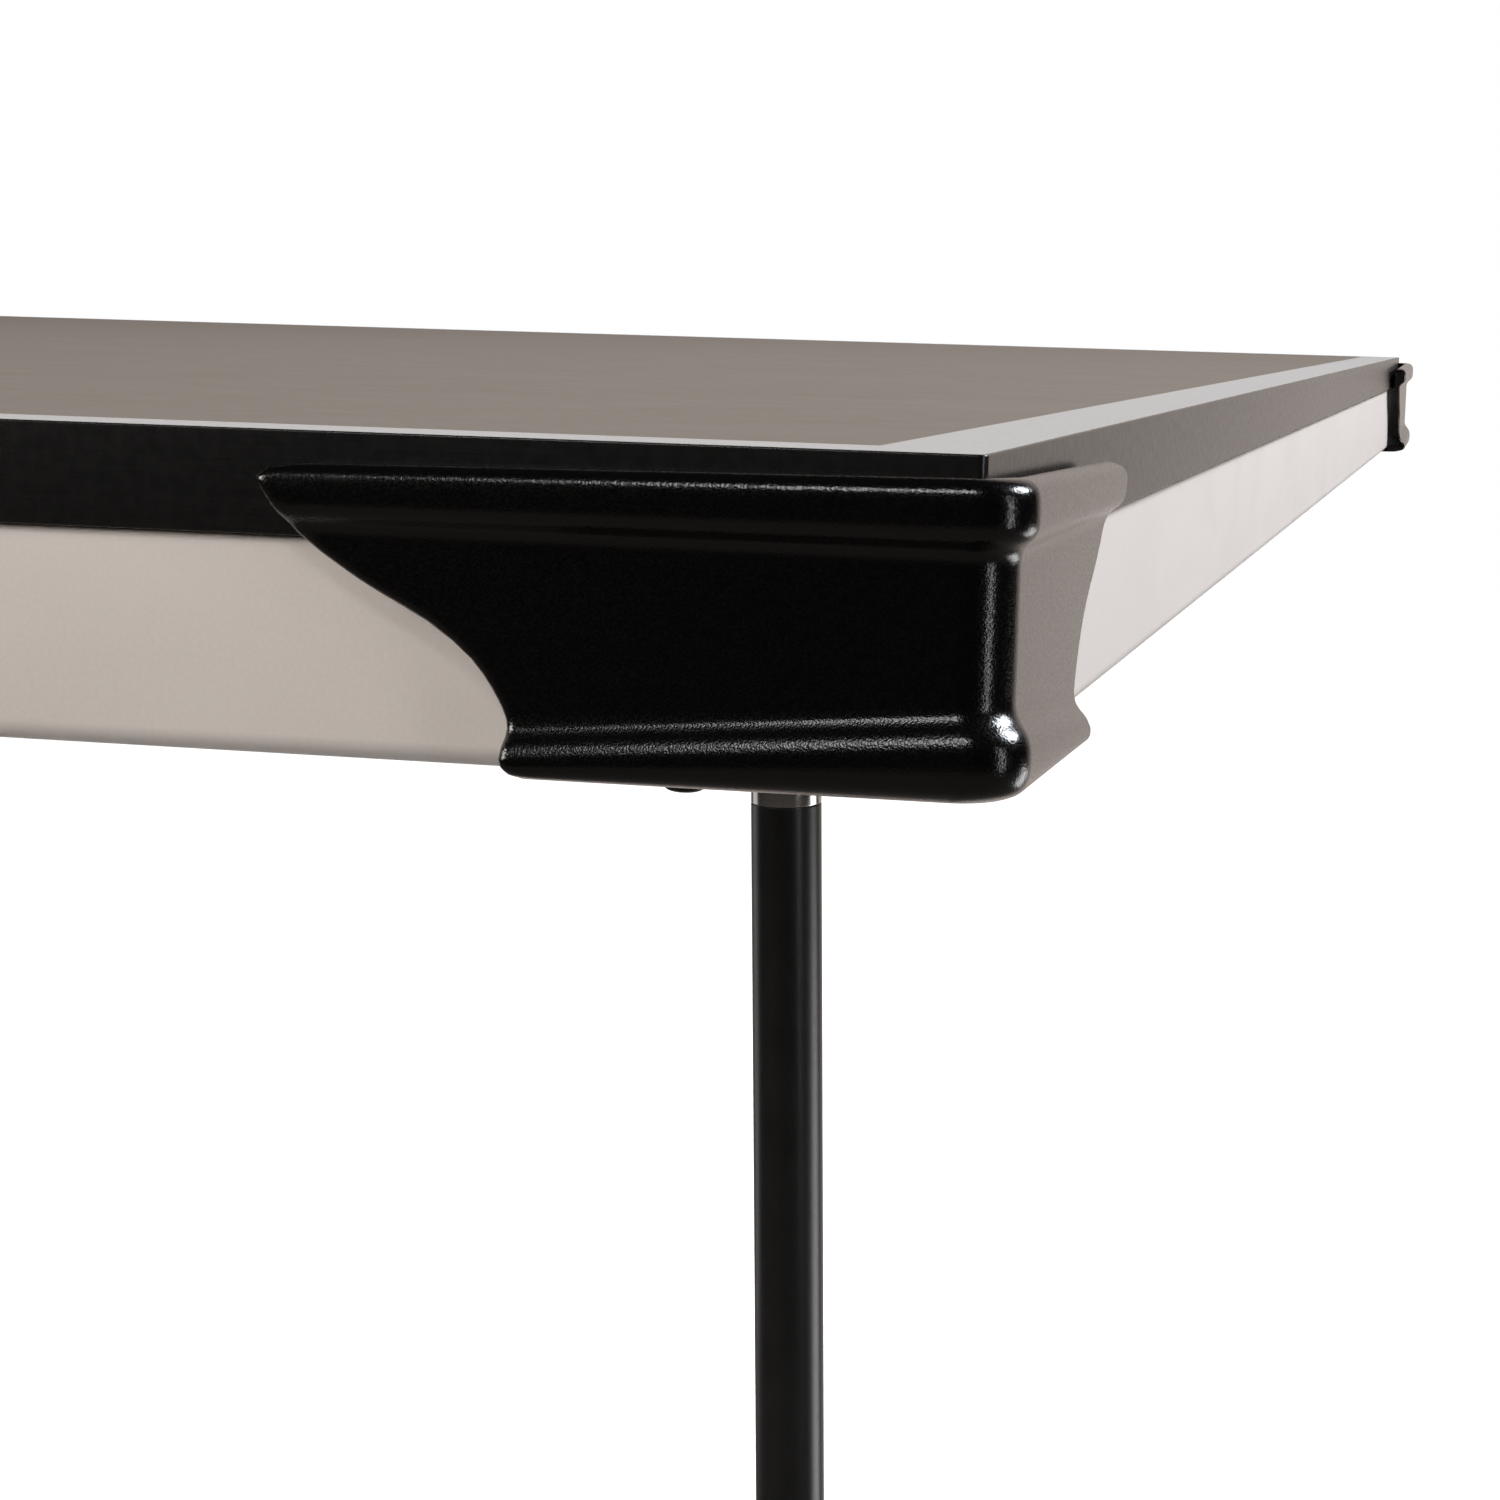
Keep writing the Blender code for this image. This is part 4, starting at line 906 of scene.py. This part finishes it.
def tilt_clamps():
    """Softened edges on the CAD's quadrants, their screws, and the bolt and star knob that clamp each one."""
    head_h, shank_r, quadrant_t = 0.005, 0.0039, 0.003
    for side, sx in SIDES:
        soften(frame["nodes"][f"quadrant_{side}"], 0.0004)
        low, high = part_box(f"tilt_bolt_{side}")
        y, z = (low.y + high.y) / 2, (low.z + high.z) / 2
        inner, outer = (low.x, high.x) if sx > 0 else (high.x, low.x)
        seat = outer - sx * head_h
        span = abs(seat - inner)
        axes = axes_frame((seat, y, z), (0, 0, 1), (sx, 0, 0))
        shank = rounded([(0.0, 0.002, 0), (shank_r, 0.002, 0), (shank_r, -span, 0.0009), (0.0, -span, 0)], 3)
        bolt = lathe(hex_bolt(bmesh.new(), axes, 0.0108, head_h, 0.0084), shank, axes, 36)
        piece(f"clamp_bolt_{side}", bolt, "base", "zinc_steel", f"tilt_bolt_{side}")
        low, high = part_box(f"tilt_knob_{side}")
        axes = axes_frame((high.x if sx > 0 else low.x, y, z), (0, 0, 1), (-sx, 0, 0))
        knob = star_knob(axes, 0.0200, 0.0040, 0.0, 0.0238, 0.0108, 0.00402)
        piece(f"tilt_star_{side}", knob, f"tilt_knob_{side}", "moulded_knob",
              f"tilt_knob_{side}", 50)
        rail_half, play, flange_half = 0.0125, 0.0006, 0.0115
        x = sx * (abs(centre_of(f"rail_{side}").x) - rail_half - play - quadrant_t - flange_half)
        seats = [(x, y + offset, UNDERSIDE_Z - FIT_GAP - quadrant_t) for offset in (-0.017, 0.017)]
        screw_row(f"quadrant_screws_{side}", "top", seats, (0, 0, -1))


def rest_buffers():
    """Rubber buffers on the rear rail, each with a domed head on a moulded foot."""
    for side, _ in SIDES:
        low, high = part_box(f"rest_buffer_{side}")
        r, x, y = (high.x - low.x) / 2, (low.x + high.x) / 2, (low.y + high.y) / 2
        profile = rounded([(0.0, low.z, 0), (r, low.z, 0.0008), (r, low.z + 0.0022, 0.0006),
                           (r * 0.93, low.z + 0.0030, 0.0004), (r * 0.86, high.z, 0.0014), (0.0, high.z, 0)], 4)
        piece(f"buffer_{side}", lathe(bmesh.new(), profile, Matrix.Translation((x, y, 0)), 48), "base",
              "glide_rubber", f"rest_buffer_{side}")


board()
aprons()
for row_name, row_sign in ROWS:
    for side_name, side_sign in SIDES:
        corner_cap(row_name, row_sign, side_name, side_sign)
        socket(row_name, row_sign, side_name, side_sign)
        leg(row_name, row_sign, side_name, side_sign)
cap_screws()
ledge()
rails()
hinges()
tilt_clamps()
rest_buffers()


# -------- studio
# Glow of the world: where it starts and is full along an axis, and its strength there.
FAR_WALL = (-0.72, -0.90, 0.013, 0.66)
FROM_BELOW = (-0.15, -0.55, 0.0, 0.13)
CAMERA_LENS = 82.589
CAMERA_AT = (1.242369, 0.576460, TOP_Z + 0.020850)
CAMERA_RIGHT = Vector((-0.22209659, 0.97464654, 0.02715202))
CAMERA_UP = Vector((-0.11934354, -0.05481233, 0.99133886))
CAMERA_BACK = Vector((0.96769325, 0.21693256, 0.12849140))


def floor_material():
    """Pale matt floor with a painted glow that grows away from the table until it reads white; its underside
    lets the view through.
    """
    n = Nodes("floor")
    x, y, _ = n.split()
    far = n.math("SQRT", n.math("ADD", n.math("MULTIPLY", x, x), n.math("MULTIPLY", y, y)))
    # Painted light: the floor glows half as strongly by the table as it does beyond 1.3 m from the middle.
    n.set(Base_Color=n.mix(n.noise(3.0), (0.90, 0.90, 0.90), (0.92, 0.92, 0.92)), Roughness=0.9,
          Emission_Color=(1.0, 1.0, 1.0), Emission_Strength=n.fit(far, 0.6, 1.3, 0.50, 1.0))
    tree = n.mat.node_tree
    out = next(node for node in tree.nodes if node.type == "OUTPUT_MATERIAL")
    solid = out.inputs["Surface"].links[0].from_socket
    clear = tree.nodes.new("ShaderNodeBsdfTransparent")
    face = tree.nodes.new("ShaderNodeNewGeometry")
    mix = tree.nodes.new("ShaderNodeMixShader")
    tree.links.new(face.outputs["Backfacing"], mix.inputs["Fac"])
    tree.links.new(solid, mix.inputs[1])
    tree.links.new(clear.outputs[0], mix.inputs[2])
    tree.links.new(mix.outputs[0], out.inputs["Surface"])
    return n.mat


def stage_floor():
    """Floor whose part under and behind the table lights it softly, while the rest of it is only seen."""
    look = floor_material()
    near, side, far_x, far_y, drop = 0.70, 0.58, 9.0, 7.0, 0.0005
    sheets = {"floor": ((-far_x, -far_y), (near, -far_y), (near, side), (-far_x, side)),
              "floor_outer": ((near, -far_y), (far_x, -far_y), (far_x, far_y), (-far_x, far_y), (-far_x, side),
                              (near, side))}
    for name, outline in sheets.items():
        bm = bmesh.new()
        bm.faces.new([bm.verts.new((x, y, 0.0)) for x, y in outline])
        sheet = mesh_object(name, bm, [look])
        sheet.location = (0.0, 0.0, -drop)
        sheet.visible_glossy = False
        sheet.visible_diffuse = sheet.visible_shadow = sheet.visible_transmission = name == "floor"


def area_light(name, azimuth, elevation, distance, size, radiance, colour=(1, 1, 1), glossy_only=False):
    """Soft box, or a card seen in gloss alone, at these angles from the table's near corner, facing it."""
    a, e = math.radians(azimuth), math.radians(elevation)
    target = Vector((BOARD_HIGH.x, BOARD_HIGH.y, TOP_Z - 0.03))
    away = Vector((math.cos(e) * math.cos(a), math.cos(e) * math.sin(a), math.sin(e)))
    data = bpy.data.lights.new(name, "AREA")
    data.shape, data.size, data.size_y = "RECTANGLE", *size
    data.energy, data.color = radiance * math.pi * size[0] * size[1], colour
    light = bpy.data.objects.new(name, data)
    light.location = target + away * distance
    light.rotation_mode = "QUATERNION"
    light.rotation_quaternion = (-away).to_track_quat("-Z", "Y")
    light.visible_diffuse = not glossy_only
    SCENE.collection.objects.link(light)
    return light


def ramp(tree, source, start, end, low, high):
    """Smooth ramp from low to high as a node's value runs from start to end."""
    node = tree.nodes.new("ShaderNodeMapRange")
    node.interpolation_type = "SMOOTHSTEP"
    for key, number in (("From Min", start), ("From Max", end), ("To Min", low), ("To Max", high)):
        node.inputs[key].default_value = number
    tree.links.new(source, node.inputs["Value"])
    return node.outputs["Result"]


def background(tree, colour):
    """World shader of one colour."""
    node = tree.nodes.new("ShaderNodeBackground")
    node.inputs["Color"].default_value = (*colour, 1.0)
    return node


def world():
    """White to look at; for all else a lit wall beyond the far end and a faint glow from below."""
    made = bpy.data.worlds.new("studio")
    SCENE.world = made
    made.use_nodes = True
    tree = made.node_tree
    tree.nodes.clear()
    split = tree.nodes.new("ShaderNodeSeparateXYZ")
    tree.links.new(tree.nodes.new("ShaderNodeTexCoord").outputs["Generated"], split.inputs[0])
    total = tree.nodes.new("ShaderNodeMath")
    tree.links.new(ramp(tree, split.outputs["X"], *FAR_WALL), total.inputs[0])
    tree.links.new(ramp(tree, split.outputs["Z"], *FROM_BELOW), total.inputs[1])
    glow, white = background(tree, (1.0, 0.88, 0.81)), background(tree, (1.0, 1.0, 1.0))
    tree.links.new(total.outputs[0], glow.inputs["Strength"])
    mix = tree.nodes.new("ShaderNodeMixShader")
    tree.links.new(tree.nodes.new("ShaderNodeLightPath").outputs["Is Camera Ray"], mix.inputs["Fac"])
    tree.links.new(glow.outputs[0], mix.inputs[1])
    tree.links.new(white.outputs[0], mix.inputs[2])
    tree.links.new(mix.outputs[0], tree.nodes.new("ShaderNodeOutputWorld").inputs["Surface"])


def studio():
    """View settings, world and lights: azimuth, elevation, distance, width and height, radiance, colour."""
    SCENE.view_settings.view_transform = "Standard"
    SCENE.view_settings.look = "None"
    world()
    area_light("front_overhead", -12.0, 43.0, 3.0, (0.60, 0.55), 12.0)
    area_light("right_strip", 66.0, 6.0, 4.0, (0.24, 3.6), 10.0)
    area_light("right_overhead", 124.0, 43.0, 3.5, (1.2, 1.2), 36.5, (0.89, 0.945, 1.0))
    area_light("left_front", -58.0, 22.0, 4.5, (2.2, 2.2), 12.6, (1.0, 0.965, 0.92))
    area_light("right_card", 133.0, -24.0, 4.0, (1.6, 1.7), 4.5, glossy_only=True)
    area_light("left_card", -128.0, 0.0, 4.0, (1.6, 3.2), 0.9, glossy_only=True)


def camera():
    """Camera by the table's near right corner, looking along its length."""
    data = bpy.data.cameras.new("camera")
    data.lens, data.sensor_width, data.clip_start, data.shift_y = CAMERA_LENS, 36.0, 0.01, -0.001
    cam = bpy.data.objects.new("camera", data)
    turn = Matrix((CAMERA_RIGHT, CAMERA_UP, CAMERA_BACK)).transposed().to_4x4()
    cam.matrix_world = Matrix.Translation(CAMERA_AT) @ turn
    SCENE.collection.objects.link(cam)
    SCENE.camera = cam


stage_floor()
studio()
camera()
